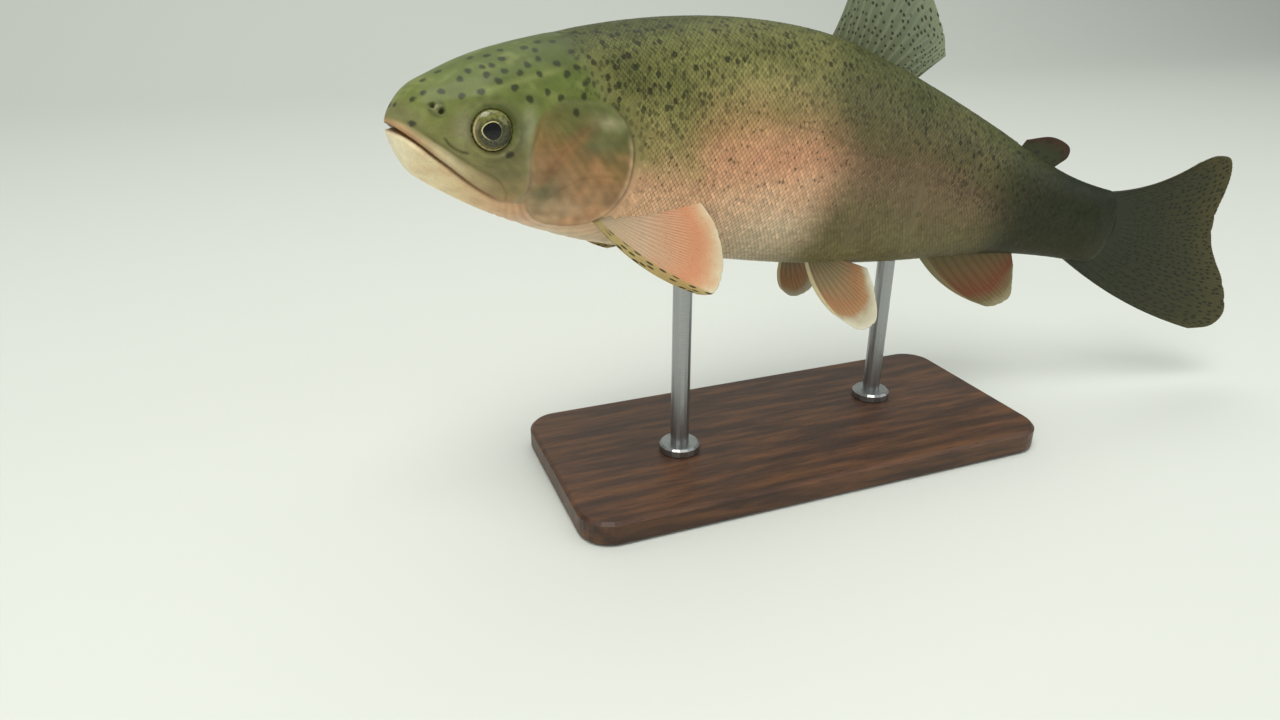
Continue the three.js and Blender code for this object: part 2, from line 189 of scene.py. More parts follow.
# ----------------------------------------
# Skin: one closed skin over head, jaws, gill covers, trunk and tail stalk. The head is
# bare skin over bone, with lips, nostrils, eye sockets and the edges of the gill plates
# raised or sunk in it. Behind the gills it lies lower, to leave room for the scales.
# ----------------------------------------
BODY_LENGTH = 410.0
NOSE_TIP = 1.8
NOSE_ROUND = 13.0
NOSE_HEIGHT = -0.9
ROUNDNESS = 2.25
BACK = [
    (0, 7.9), (12, 14.3), (28, 23), (66, 36.2), (120, 48.5), (153, 52.6), (190, 53.7),
    (227, 49.6), (302, 35.8), (335, 27.5), (360, 22.2), (381, 19.9), (410, 19.5),
]
BELLY = [
    (0, -9.6), (12, -18.5), (28, -26.4), (66, -39.1), (120, -47.4), (190, -50),
    (227, -47.6), (265, -42.2), (302, -34), (335, -25.8), (360, -22.6), (410, -22),
]
HALF_WIDTH = [
    (0, 8.7), (12, 13.8), (28, 20.3), (45, 23.2), (90, 26.6), (153, 30.7), (190, 31.1), (227, 29),
    (265, 24.9), (302, 19.1), (335, 13.7), (360, 10.4), (381, 7.8), (400, 4.4), (410, 2.6),
]
MOUTH = [(-6, -1.2), (0, -1.7), (4, -2.8), (17, -11.1), (30, -19.7), (40, -24.8)]
MOUTH_CORNER = 39.0
GILL_AT, GILL_BACK, GILL_FRONT, GILL_UP, GILL_DOWN = (66.0, -9.0), 22.5, 20.0, 23.0, 25.0
GILL_SQUARE = 2.3  # 2 would make the gill cover's outline an oval
EYE_AT, EYE_RADIUS, EYE_DEPTH, EYE_TURN = (34.0, 16.6, 0.9), 8.0, 5.6, 7.0
EYE_SHOWN = 7.1  # radius of the globe that shows in its socket
# Where scales begin: [height from belly -1 to back 1, distance from the snout]
SCALE_FRONT = [(-1, 88), (-0.7, 84), (-0.5, 80), (0, 78), (0.2, 76), (0.4, 72), (0.7, 66), (1, 62)]
GILL_CLEAR = 1.1  # bare skin left behind the gill cover's rim
SCALE_FADE = 8.0  # length over which the first scales rise out of the skin
SKIN_INSET = 0.12
SCALE_ROOM = 0.34
TAIL_PINCH = (378.0, 411.0)  # where the flesh thins out into the tail fin
RELIEF_END = 104.0


def signed_power(v, e):
    return np.sign(v) * np.abs(v) ** e


def ease(v, low, high):
    """0 below low to 1 above high, with soft ends."""
    t = np.clip((v - low) / (high - low), 0, 1)
    return t * t * (3 - 2 * t)


def bell(v, width):
    return np.exp(-((v / width) ** 2))


def girth(x):
    """Half width, middle height and half height of the flesh at x."""
    t = np.clip((np.asarray(x, float) - NOSE_TIP) / (NOSE_ROUND - NOSE_TIP), 0, 1)
    r = np.sqrt(1 - (1 - t) ** 2)
    top = NOSE_HEIGHT + (curve(BACK, x) - NOSE_HEIGHT) * r
    low = NOSE_HEIGHT + (curve(BELLY, x) - NOSE_HEIGHT) * r
    pinch = 1 - 0.95 * ease(x, *TAIL_PINCH)
    tall = (top - low) / 2 * (1 - 0.42 * ease(x, 386, 411))
    return curve(HALF_WIDTH, x) * r * pinch, (top + low) / 2, tall


def flesh(x, q):
    """Points of the smooth body: rings at each x, q round each from the back down the left flank."""
    half, middle, tall = girth(x)
    turn = np.linspace(0.5 * math.pi, 2.5 * math.pi, 1025)
    wide = signed_power(np.cos(turn), 2 / ROUNDNESS)
    high = signed_power(np.sin(turn), 2 / ROUNDNESS)
    out = np.empty((len(x), len(q), 3))
    for i in range(len(x)):
        steps = np.hypot(half[i] * np.diff(wide), tall[i] * np.diff(high))
        run = np.concatenate([[0], np.cumsum(steps)])
        a = np.interp(np.mod(q, 1.0), run / run[-1], turn)
        out[i, :, 0] = x[i]
        out[i, :, 1] = half[i] * signed_power(np.cos(a), 2 / ROUNDNESS)
        out[i, :, 2] = middle[i] + tall[i] * signed_power(np.sin(a), 2 / ROUNDNESS)
    return out


def girdle(x):
    """Length round the body at each x, in millimetres."""
    ring = flesh(np.asarray(x, float), np.linspace(0, 1, 241)[:-1])
    return np.linalg.norm(ring - np.roll(ring, 1, axis=1), axis=2).sum(1)


def flank_y(x, z):
    """How far out the smooth flank lies at x and height z."""
    half, middle, tall = girth(x)
    return half * np.clip(1 - np.abs((z - middle) / tall) ** ROUNDNESS, 0, 1) ** (1 / ROUNDNESS)


def on_flank(line):
    """A line drawn in the side view as [x, z], laid on the left flank's mirror in space."""
    line = np.asarray(line, float)
    run = np.concatenate([[0], np.cumsum(np.hypot(*np.diff(line, axis=0).T))])
    t = np.linspace(0, run[-1], 60)
    x = curve(np.stack([run, line[:, 0]], 1), t)
    z = curve(np.stack([run, line[:, 1]], 1), t)
    return np.stack([x, flank_y(x, z), z], 1)


def gap_to(line, p):
    """Distance from each point to a line in space, and where along the line it is nearest."""
    best = np.full(len(p), 1e9)
    where = np.zeros(len(p))
    for i in range(len(line) - 1):
        a, ab = line[i], line[i + 1] - line[i]
        t = np.clip(((p - a) @ ab) / (ab @ ab), 0, 1)
        d = np.linalg.norm(p - a - t[:, None] * ab, axis=1)
        near = d < best
        best[near] = d[near]
        where[near] = (i + t[near]) / (len(line) - 1)
    return best, where


mouth_x = np.concatenate([np.linspace(NOSE_TIP + 0.3, 9, 24), np.linspace(10, MOUTH_CORNER, 30)])
mouth_z = curve(MOUTH, mouth_x)
mouth_line = np.stack([mouth_x, flank_y(mouth_x, mouth_z), mouth_z], 1)
mouth_line = np.vstack([[mouth_x[0], 0.0, mouth_z[0]], mouth_line])
PREOPERCLE = [(50.5, 5), (48.2, -2.7), (47.3, -8), (48.2, -14), (48.5, -19), (45.5, -25)]
OPERCLE_SEAM = [
    (52.5, -15.5), (56.5, -9.9), (61.4, -3.6), (65.9, 0.7), (69.5, 4.6), (73.5, 6.8), (78.5, 6.4), (83, 2.2)]
SUBOPERCLE_SEAM = [(54, -26), (60, -19.5), (69, -14.5), (78, -13.2), (87.2, -15)]
LACRIMAL_FOLD = [(17.5, -2.6), (19.3, -5.0), (22.5, -7.0), (26.5, -7.6)]
NOSTRILS = [(14.3, 7.2, 0.95), (16.7, 5.7, 1.1)]
NASAL_FLAP = (15.5, 6.5)
preopercle_line = on_flank(PREOPERCLE)
opercle_line = on_flank(OPERCLE_SEAM)
subopercle_line = on_flank(SUBOPERCLE_SEAM)
lacrimal_line = on_flank(LACRIMAL_FOLD)


def gill_reach(x, z):
    """How far outside the gill cover's outline a side-view point lies, in millimetres."""
    dx, dz = x - GILL_AT[0], z - GILL_AT[1]
    rx = np.where(dx > 0, GILL_BACK, GILL_FRONT)
    rz = np.where(dz > 0, GILL_UP, GILL_DOWN)
    reach = (np.abs(dx) / rx) ** GILL_SQUARE + (np.abs(dz) / rz) ** GILL_SQUARE
    return (reach ** (1 / GILL_SQUARE) - 1) * GILL_UP


def above_mouth(x, z):
    """Height over the line of the mouth, in millimetres."""
    return z - curve(MOUTH, np.minimum(x, 40))


def relief(points):
    """Raised and sunk detail of the head: millimetres outwards, and how much shade is painted there in its creases and
    openings.
    """
    flat = points.reshape(-1, 3) * [1, 1, 1]
    flat[:, 1] = np.abs(flat[:, 1])
    rise, painted_shade = np.zeros(len(flat)), np.zeros(len(flat))
    head = np.flatnonzero(flat[:, 0] < RELIEF_END)
    p = flat[head]
    x, y, z = p.T
    r, d = np.zeros(len(head)), np.zeros(len(head))

    # Mouth: open a little at the very front and shut behind, each lip a soft roll, with shade painted in the gap
    # between them
    away, _ = gap_to(mouth_line, p)
    front = np.exp(-np.maximum(x - NOSE_TIP, 0) / 3.4)
    gape = 0.45 + 0.95 * front
    fade = ease(x, MOUTH_CORNER + 1.5, MOUTH_CORNER - 9)
    r -= (1.0 + 3.0 * front) * ease(away, gape * 1.25, gape * 0.5) * fade
    r += 0.28 * bell(away - gape - 1.3, 0.9) * fade * ease(x, 2, 6)
    d += (0.30 + 0.45 * ease(x, 32, 14)) * ease(away, gape * 1.3, gape * 0.5) * fade

    # Upper jaw plate: a strip over the mouth that widens to a round end behind the eye, with shade painted in the
    # groove at its edge
    above = above_mouth(x, z)
    end = np.sqrt(np.clip(1 - (np.clip(x - 33.5, 0, 9) / 8.0) ** 2, 0, 1))
    inside = (x > 3) & (x < 42)
    edge = np.where(inside, above * 0.86 - (2.4 + 3.2 * np.clip((x - 5) / 36, 0, 1)) * end - 1.1, 9.0)
    side = ease(y, 3, 8) * (above > 0)
    r -= 0.34 * bell(edge, 0.5) * side * ease(x, 6, 16)
    d += 0.26 * bell(edge, 0.45) * side * ease(x, 12, 26)
    r += 0.26 * ease(-edge, 0.0, 1.1) * (above > 0.6 / 0.86) * side * inside

    # Nostrils: two openings with an upright flap between them, shade painted in the openings and kept off the flap
    for nx, nz, size in NOSTRILS:
        pit = np.linalg.norm(p - [nx, float(flank_y(nx, nz)), nz], axis=1)
        r += 0.25 * bell(pit - size * 1.5, 0.4) - 1.5 * ease(pit, size * 1.25, size * 0.55)
        d += ease(pit, size * 1.2, size * 0.5)
    flap = (p - [NASAL_FLAP[0], float(flank_y(*NASAL_FLAP)), NASAL_FLAP[1]]) / [0.42, 1, 1.3]
    flap = np.linalg.norm(flap, axis=1)
    r += 0.95 * bell(flap, 1.1)
    d -= 1.2 * bell(flap, 1.0)

    # Edges of the cheek and gill plates, each a line with its depth, width and the shade painted in its groove
    for line, depth, wide, shade in (
        (lacrimal_line, 0.5, 0.5, 0.8), (preopercle_line, 0.42, 0.6, 0.22),
        (opercle_line, 0.20, 0.7, 0.0), (subopercle_line, 0.25, 0.6, 0.10),
    ):
        away, along = gap_to(line, p)
        cut = bell(away, wide) * ease(along, -0.001, 0.12) * ease(along, 1.001, 0.86)
        r -= depth * cut
        d += shade * cut

    # Gill cover: a free plate, thick at its rear rim, standing over the shoulder, with shade painted in the opening
    # just behind its rim
    out = gill_reach(x, z)
    rear = ease(x, 60, 70)
    free = np.maximum(rear, ease(-z, 22, 30) * ease(x, 40, 52)) * ease(z, 14, 9)
    plate = ease(out, 0.45, -0.35)
    side = free * ease(y, 2, 8)
    r += 0.2 * plate * np.exp(np.minimum(out, 0) / 5) * free
    r -= 1.15 * (1 - plate) * np.exp(-np.maximum(out, 0) / 4.5) * side
    d += 0.6 * bell(out - 0.5, 0.55) * side * (1 - 0.6 * ease(-z, 20, 30)) * (0.8 + 0.2 * np.sin(z * 0.9))
    r -= 0.16 * bell(out + 2.6, 1.0) * rear * free + 0.22 * bell(out, 0.7) * (1 - free) * ease(x, 52, 60)
    fan = np.arctan2(z - 10, x - 52)
    r += 0.04 * np.sin(fan * 46 + 0.4 * z) * ease(-out, 2.0, 5.0) * ease(x, 53, 60)

    # Folds of the gill membrane under the throat, one inside the other, with shade painted in their troughs
    throat = ease(-z, 21, 27) * ease(x, 34, 48) * ease(x, 92, 84) * ease(out, 0.3, 1.5)
    trough = 0.5 - 0.5 * np.cos(2 * math.pi * (out - 1.2) / 2.3)
    r -= 0.30 * trough ** 2 * throat
    d += 0.14 * trough ** 3 * throat

    # Chin: a groove between the two sides of the lower jaw, and the jaw's lower rim
    under = ease(-above, 2, 6) * ease(x, 52, 40)
    r -= 0.55 * bell(y, 1.3) * under * ease(x, 5, 12)
    r -= 0.35 * bell(y - (2.5 + 0.22 * x), 0.8) * under * ease(x, 10, 16) * (z < -14)

    # Brow, the hollow in front of the eye, the folds behind it and the pores of the head
    side = ease(y, 6, 12)
    r += (0.35 * bell(np.hypot(x - 33, z - 12.0), 5.0) - 0.4 * bell(np.hypot(x - 22.5, z - 3.0), 4.0)) * side
    brow = 12.5 + 0.16 * (x - 33) - 0.006 * (x - 33) ** 2
    r += 0.22 * bell(z - brow, 1.6) * ease(x, 14, 22) * ease(x, 64, 54) * (y > 4)
    for tilt in np.radians([-48, -22, 6]):
        off = (z - EYE_AT[2]) * math.cos(tilt) - (x - EYE_AT[0]) * math.sin(tilt)
        r -= 0.13 * bell(off, 0.7) * ease(x, 42, 44) * ease(x, 49, 46) * (y > 4)
    around = np.radians(150 + 22 * np.arange(9))
    pores = [(EYE_AT[0] + 11.5 * math.cos(a), EYE_AT[2] + 11.0 * math.sin(a), 0.35) for a in around]
    pores += [(46.5 - 2.2 * abs(k - 3) ** 0.5, 4.0 - 4.6 * k, 0.3) for k in range(7)]
    for px, pz, depth in pores:
        r -= depth * bell(np.hypot(x - px, z - pz), 0.42) * (y > 4)

    rise[head], painted_shade[head] = r, d
    return rise.reshape(points.shape[:-1]), painted_shade.reshape(points.shape[:-1])


def eye_axis(side):
    """The way an eye looks: out to its side and a little forward."""
    a = math.radians(EYE_TURN)
    return np.array([-math.sin(a), side * math.cos(a), 0.0])


def eye_height(rho):
    """Height of the eye's clear front above its middle, rho from its axis."""
    return EYE_DEPTH * np.sqrt(np.clip(1 - (rho / (EYE_RADIUS + 0.1)) ** 3, 0, 1))


def scale_lead(x, z, height):
    """How far behind the first scales a point lies, in millimetres."""
    behind_front = x - curve(SCALE_FRONT, height)
    return np.minimum(behind_front, gill_reach(x, z) - GILL_CLEAR)


def height_of(q):
    """Height round the body: 1 on the back, -1 on the belly."""
    return np.abs(1 - 2 * np.mod(q, 1.0)) * 2 - 1


def skin(x, q):
    """The skin's points on rings at x, q round each, with how much shade is painted there in creases, openings and
    sockets.
    """
    base = flesh(x, q)
    nudge = np.minimum(0.05, (x - NOSE_TIP) / 4)
    along = flesh(x + nudge, q) - flesh(x - nudge, q)
    round_ = flesh(x, q + 2e-4) - flesh(x, q - 2e-4)
    out = np.cross(round_, along)
    out /= np.maximum(np.linalg.norm(out, axis=2, keepdims=True), 1e-12)
    rise, painted_shade = relief(base)
    h = np.broadcast_to(height_of(q), base.shape[:2])
    scaled = ease(scale_lead(base[..., 0], base[..., 2], h), -2.0, 4.0)
    inset = SKIN_INSET + 0.28 * ease(base[..., 0], 9.0, 2.5)
    made = base + out * (rise - inset - SCALE_ROOM * scaled)[..., None]
    for side in (-1, 1):
        axis = eye_axis(side)
        away = made - np.array(EYE_AT) * [1, side, 1]
        level = away @ axis
        rho = np.linalg.norm(away - level[..., None] * axis, axis=2)
        here = (rho < 11) & (level > 0)
        rim = rho - EYE_SHOWN
        rimmed = np.where(here, ease(rim, 2.3, 0.3), 0.0)
        seat = eye_height(np.minimum(rho, EYE_SHOWN + 0.4)) + 0.22 - 4.0 * ease(rim, 0.25, -0.35)
        lower_rear = 0.5 + 0.5 * np.cos(np.arctan2(away[..., 2], away[..., 0]) + 0.9)
        lift = np.where(here, (0.16 * bell(rim - 2.1, 0.9) - 0.16 * bell(rim - 3.6, 0.9)) * lower_rear, 0.0)
        made = made + axis * ((seat - level) * rimmed + lift)[..., None]
        # Painted shade in the gap round the eye and in the trough behind the socket's raised lower rear rim
        painted_shade = painted_shade + np.where(here, 0.22 * bell(rim - 0.15, 0.35) + 0.10 * bell(rim - 3.6, 0.9) * lower_rear, 0)
    return made, painted_shade


def light(code):
    """A colour written as screen hex, as the light values that shaders use."""
    screen = np.array([int(code[i:i + 2], 16) / 255 for i in (1, 3, 5)])
    return np.where(screen <= 0.04045, screen / 12.92, ((screen + 0.055) / 1.055) ** 2.4)


def ramp(v, stops):
    """Colours that run through the stops, a hex colour at each place."""
    colours = np.transpose([light(code) for code in stops.values()])
    return np.stack([np.interp(v, list(stops), channel) for channel in colours], -1)


def over(base, tint, mask):
    """A tint laid over the base colours where the mask is 1."""
    tint = light(tint) if isinstance(tint, str) else tint
    mask = np.clip(mask, 0, 1)[:, None]
    return base * (1 - mask) + tint * mask


def cloud(points, size, seed):
    """Smooth wandering values about 0, mostly from -1 to 1, with patches of about size."""
    rng = np.random.default_rng(seed)
    ways = rng.normal(size=(12, 3))
    ways *= (2 * math.pi / size) * rng.uniform(0.35, 0.9, (12, 1)) / np.linalg.norm(ways, axis=1, keepdims=True)
    return np.sin(points @ ways.T + rng.uniform(0, 2 * math.pi, 12)).sum(1) / 3.4


# Round spots of the head, [back from the snout, height], as they lie on the left side
HEAD_SPOTS = [
    (4.3, 5.7), (8.8, 8.3), (12.1, 10.8), (17.5, 12), (8.1, 0.6), (23.9, 16.6), (27, 19.4), (31.8, 21.3), (34.9, 22.1),
    (32.3, 18.9), (38.5, 20.7), (35.8, 17.3), (29.6, 13.2), (23.4, 11.3), (40.2, 27.2), (38.9, 24.5), (43.7, 20.7),
    (41.1, 15.7), (46.8, 23.6), (34.9, 24.9), (51.2, 25.9), (51.2, 28.6), (50.4, 21), (52.6, 15.3), (57.4, 13.9),
    (46, 12.5), (64.5, 24.5), (60.5, 21.9), (57.4, 25), (67.1, 19.5), (66.3, 15.1), (63.2, 9.3), (53.9, 31.4),
    (48.2, 29), (30.1, 23.6), (58.8, 32.1), (39.5, -6.8), (13.5, 14.6), (19, 18.2), (75.5, 18), (64, 29.5),
]


def head_spots(points):
    """1 in the round dark spots of the head, 0 between them."""
    rng = np.random.default_rng(11)
    near = np.flatnonzero(points[:, 0] < GILL_AT[0] + 8)
    p = points[near]
    mask = np.zeros(len(p))
    for side in (-1, 1):
        for sx, sz in HEAD_SPOTS:
            if side > 0:
                sx, sz = sx + rng.normal() * 2.0, sz + rng.normal() * 1.6
            _, middle, tall = girth(sx)
            sz = min(sz, float(middle + tall * 0.985))
            off = p - [sx, side * float(flank_y(sx, sz)), sz]
            size = 1.05 + 0.25 * rng.uniform() + 0.003 * sx
            turn = np.arctan2(off[:, 2], off[:, 0])
            ragged = 0.12 * np.sin(2 * turn + rng.uniform(0, 6)) + 0.07 * np.sin(3 * turn + rng.uniform(0, 6))
            edge = size * (1 + ragged)
            mask = np.maximum(mask, ease(np.linalg.norm(off, axis=1), edge + 0.35, edge - 0.35))
    out = np.zeros(len(points))
    out[near] = mask
    return out


def paint(points, height):
    """The living colours of the skin, without its spots: olive back, rose flank, pale belly, bronze gills, and painted
    shade over the tail stalk, the lower rear flank, the line of the mouth and the nostrils.
    """
    x, y, z = points.T
    y = np.abs(y)
    broad, patch, fleck = cloud(points, 42, 3), cloud(points, 13, 4), cloud(points, 4.5, 5)
    mottle, pepper = cloud(points, 7, 6), cloud(points, 2.4, 7)
    level = height + 0.05 * broad + 0.05 * patch + 0.02 * fleck

    def blob(at_x, at_z, reach_x, reach_z):
        return bell(np.hypot((x - at_x) / reach_x, (z - at_z) / reach_z), 1.0)

    def near_line(line, low, high):
        """Distance to a line of the head and place along it, for points from low to high."""
        near, away, along = (x > low) & (x < high), np.full(len(x), 50.0), np.zeros(len(x))
        away[near], along[near] = gap_to(line, np.stack([x, y, z], 1)[near])
        return away, along

    def layers(base, *coats):
        """Tints laid over one another, each with its mask."""
        for tint, mask in coats:
            base = over(base, tint, mask)
        return base

    front = ramp(
        level + 0.30 * ease(x, 152, 92) - 0.06,
        {-1: "#d8cbb2", -0.7: "#d6c3a4", -0.45: "#d6b696", -0.25: "#d0a884", -0.08: "#c69c78", 0.06: "#b3956c",
         0.2: "#948557", 0.4: "#7b7748", 0.65: "#66673a", 0.85: "#575a30", 1: "#454a25"})
    rear = ramp(
        level,
        {-1: "#9a9270", -0.75: "#7f7752", -0.4: "#706646", -0.15: "#706147", 0.05: "#6b5a42",
         0.2: "#60573a", 0.45: "#585536", 0.7: "#505330", 0.9: "#464a27", 1: "#3b401f"})
    # Tail stalk: its own dark olive, darkened further by painted shade, and darker towards the back
    stalk_with_shade = ramp(level, {-1: "#403f2d", -0.5: "#343522", 0: "#2d301f", 0.5: "#252a1a", 1: "#1b2113"})
    body = layers(
        front,
        ("#ce8a6b", 0.38 * bell(height - 0.02, 0.22) * ease(x, 100, 128)),
        (rear, ease(x + 12 * broad, 142, 212)),
        # the stalk's colours reach further forward low on the flank: painted shade on the lower rear
        (stalk_with_shade, ease(x - 20 * height + 7 * broad, 284, 342)),
        ("#34321c", 0.22 * ease(patch + 0.5 * fleck, 0.1, 1.1) * ease(height, 0.1, 0.5)))

    # Head: olive on top to tan below, mottled, with the bones of cheek and brow showing as paler lines
    drop = z + 1.6 * patch + 0.7 * mottle
    head = ramp(
        drop, {-36: "#dcc3a4", -28: "#d3ab8a", -21: "#a98a63", -14: "#827a50", -7: "#757146", 0: "#6f7040",
        6: "#697039", 12: "#606b33", 20: "#57632d", 28: "#4c5828", 36: "#404a22"})
    near_eye = np.hypot(x - EYE_AT[0], z - EYE_AT[2])
    cheek_gap, _ = near_line(preopercle_line, 40, 60)
    flap = np.hypot(x - NASAL_FLAP[0], z - NASAL_FLAP[1])
    head = layers(
        head,
        ("#525238", 0.5 * bell(near_eye - 9.6, 2.4) * (y > 4)),
        ("#96936e", 0.6 * blob(23.5, 0, 3.2, 6)),
        ("#9a9c7c", 0.55 * blob(46.2, 3, 2.8, 7)),
        ("#8a8452", 0.5 * blob(29, -8, 6, 4)),
        ("#5d5a3a", 0.55 * blob(38, -13, 6, 4)),
        ("#7d7a58", 0.5 * blob(5, 3, 5, 4)),
        ("#888d52", 0.26 * ease(mottle + 0.6 * pepper, 0.1, 1.8) * (z > -12)),
        ("#454a28", 0.32 * ease(-mottle + 0.6 * pepper, 0.1, 1.8) * (z > -12)),
        ("#8c9158", 0.32 * bell(z - 13.5 - 0.34 * (x - 30), 1.1) * ease(x, 24, 34) * ease(x, 64, 54) * (y > 8)),
        ("#a9a184", 0.5 * bell(cheek_gap, 1.3) * ease(-z, 2, 10)),
        ("#b4b091", 0.7 * bell(flap, 0.9) * (y > 4)),
        # Painted shade in the nostril openings round the pale flap
        ("#3f4126", 0.55 * bell(flap - 2.2, 0.8) * (y > 4)))

    # Lips and jaw: a pale tan upper jaw, a cream lower jaw flushed with rose behind
    above = above_mouth(x, z)
    strip = 3.0 + 3.4 * np.clip((x - 5) / 36, 0, 1) + 0.5 * mottle
    upper = ease(above, -0.2, 0.3) * ease(above, strip + 1.6, strip - 1.6) * ease(x, 43, 34)
    lip = ramp(x + mottle, {4: "#b2906a", 11: "#d2b88f", 20: "#d8c79f", 28: "#b9a67c", 38: "#918059"})
    jaw = ease(above, 0.1, -0.6) * ease(x, 54, 44)
    cream = ramp(
        x + 0.5 * (z + 10) + 0.6 * mottle,
        {0: "#f1e9cf", 9: "#ebdcb4", 20: "#dcc396", 32: "#d3ab84", 46: "#ca9d7b"})
    head = layers(
        head,
        (lip, 0.8 * upper),
        ("#a87850", 0.5 * bell(above - 1.0, 1.2) * ease(x, 20, 10) * (y > 1)),
        (cream, jaw),
        ("#d9c39c", 0.65 * jaw * ease(-above, 6, 14)),
        ("#c29a74", 0.35 * jaw * ease(mottle + 0.4 * pepper, 0.2, 1.2) * ease(x, 6, 14)),
        # Painted shade along the line of the mouth, darkest in its open front
        ("#8f6743", 0.75 * bell(above, 0.9) * ease(x, 42, 34)),
        ("#4a3020", 0.8 * bell(above, 1.1) * ease(x, 6, 2.5)))

    # Gill cover: olive bone above a copper seam, rose and tan below it, a pale thin rim
    seam, along = near_line(opercle_line, 38, 96)
    out = gill_reach(x, z)
    plate = ramp(
        drop + 0.30 * (x - 66), {-27: "#b79976", -20: "#a1805c", -13: "#94734d", -6: "#81683f",
        -1: "#70633a", 5: "#666437", 10: "#606438", 15: "#5c6334"})
    plate = layers(
        plate,
        ("#6b6c4c", 0.85 * blob(53.5, -19, 6.5, 7)),
        ("#5e5f40", 0.75 * blob(73, -1.5, 8, 4.5)),
        ("#8b6340", 0.55 * bell(seam, 3.0) * ease(along, 0.8, 0.45)),
        ("#a49d78", 0.6 * blob(77, 6.5, 6, 2.6)),
        ("#b5805a", 0.5 * ease(patch + 0.3 * mottle, -0.1, 0.9) * ease(-z, 2, 8) * ease(x, 60, 68)),
        ("#c9ab88", 0.5 * bell(out + 0.9, 0.9) * ease(x, 68, 80) * ease(-z, -4, 2)))
    fan = np.sin(27 * np.arctan2(z - 10, x - 50) + 2.5 * patch)
    plate = plate * (1 + 0.05 * fan + 0.09 * mottle + 0.05 * pepper)[:, None]
    head = over(head, plate, ease(out, 0.7, -0.2) * ease(x, 46, 49.5) * (y > 3))

    # The body's colours take over at the gill opening and, over it, where the scales begin
    behind = ease(out, -0.1, 0.5) * ease(x, 60, 72)
    share = np.where(z < 8, behind, np.minimum(behind, ease(scale_lead(x, z, height), -5, 3)))
    share = np.where(z < 8, share, share + (behind - share) * ease(z, 12, 8))
    side_line = np.interp(x, [84, 120, 200, 300, 410], [0.36, 0.26, 0.10, 0.03, 0.0])
    whole = layers(
        head, (body, share), ("#3d3824", 0.22 * bell(height - side_line, 0.012) * share * (x > 86)))
    return whole * (1 + 0.045 * fleck + 0.035 * pepper)[:, None]


def bareness(points):
    """1 on the gill cover and the head, where no spots are scattered, 0 on the body."""
    x, _, z = points.T
    return 1 - ease(gill_reach(x, z), 0.2, 1.2) * ease(x, 58, 70)


HEAD_AROUND, BODY_AROUND = 320, 160
HEAD_END = 92.0
nose_x = NOSE_TIP + (NOSE_ROUND - NOSE_TIP) * (1 - np.cos(np.linspace(0, math.pi / 2, 27)[1:]))
head_x = np.concatenate([nose_x, np.arange(NOSE_ROUND + 0.5, HEAD_END + 0.01, 0.5)])
body_x = np.concatenate([np.arange(HEAD_END + 1.6, BODY_LENGTH - 1, 1.6), [BODY_LENGTH]])
head_q, body_q = np.arange(HEAD_AROUND) / HEAD_AROUND, np.arange(BODY_AROUND) / BODY_AROUND
head_skin, head_shade = skin(head_x, head_q)
body_skin, body_shade = skin(body_x, body_q)
nose_tip = [[NOSE_TIP + 0.05, 0, NOSE_HEIGHT]]
tail_end = [[BODY_LENGTH, 0, float(girth(BODY_LENGTH)[1])]]
straight = np.vstack([nose_tip, head_skin.reshape(-1, 3), body_skin.reshape(-1, 3), tail_end])
# Painted shade in the creases, openings and eye sockets for every point, with some at the nose tip
painted_shade = np.concatenate([[0.3], head_shade.ravel(), body_shade.ravel(), [0]])
turns = np.concatenate([[np.nan], np.tile(head_q, len(head_x)), np.tile(body_q, len(body_x)), [np.nan]])
heights = np.where(np.isnan(turns), 0.0, height_of(turns))
ring_x = np.concatenate([[NOSE_TIP], np.repeat(head_x, HEAD_AROUND), np.repeat(body_x, BODY_AROUND), [BODY_LENGTH]])


def ring_quads(start, rows, around):
    """Quads of a closed tube of rings."""
    r, k = np.meshgrid(np.arange(rows - 1), np.arange(around), indexing="ij")
    a, b = start + r * around + k, start + r * around + (k + 1) % around
    return np.stack([a, a + around, b + around, b], -1).reshape(-1, 4)


def unrolled(faces):
    """The bake map of the skin, cut open along the back: half of it goes to the head."""
    across = np.interp(ring_x[faces], [NOSE_TIP, HEAD_END, BODY_LENGTH], [0.01, 0.55, 0.99])
    ends = np.where(faces == 0, -0.005, np.where(faces == len(straight) - 1, 0.005, 0.0))
    v = turns[faces]
    v = v + ((np.nanmax(v, 1, keepdims=True) - v) > 0.5)
    v = np.where(np.isnan(v), np.nanmean(v, 1, keepdims=True), v)
    return np.stack([across + ends, v], -1).reshape(-1, 2)


body_start = 1 + len(head_x) * HEAD_AROUND
k, n = np.arange(BODY_AROUND), np.arange(HEAD_AROUND)
f0, f1, f2 = (body_start - HEAD_AROUND + (2 * k + i) % HEAD_AROUND for i in range(3))
c0, c1 = body_start + k, body_start + (k + 1) % BODY_AROUND
join = np.stack([f0, c0, f1, f1, c0, c1, f1, c1, f2], 1).reshape(-1, 3)
nose_fan = np.stack([0 * n, 1 + n, 1 + (n + 1) % HEAD_AROUND], 1)
tail_fan = len(straight) - 1 - BODY_AROUND + np.stack([k, 0 * k + BODY_AROUND, (k + 1) % BODY_AROUND], 1)
head_quads, body_quads = ring_quads(1, len(head_x), HEAD_AROUND), ring_quads(body_start, len(body_x), BODY_AROUND)
skin_faces = [nose_fan, head_quads, join, body_quads, tail_fan]
# The chart keeps, for each point, its distance from the snout, the painted shade and its height round the body
trout_skin = mesh_object(
    "trout_skin", bent(straight), skin_faces,
    {"straight": straight, "chart": np.stack([straight[:, 0], painted_shade, heights], 1),
     "paint": paint(straight, heights), "speck": head_spots(straight), "bare": bareness(straight)},
    np.vstack([unrolled(f) for f in skin_faces]))


def shade(code):
    return (*light(code), 1.0)


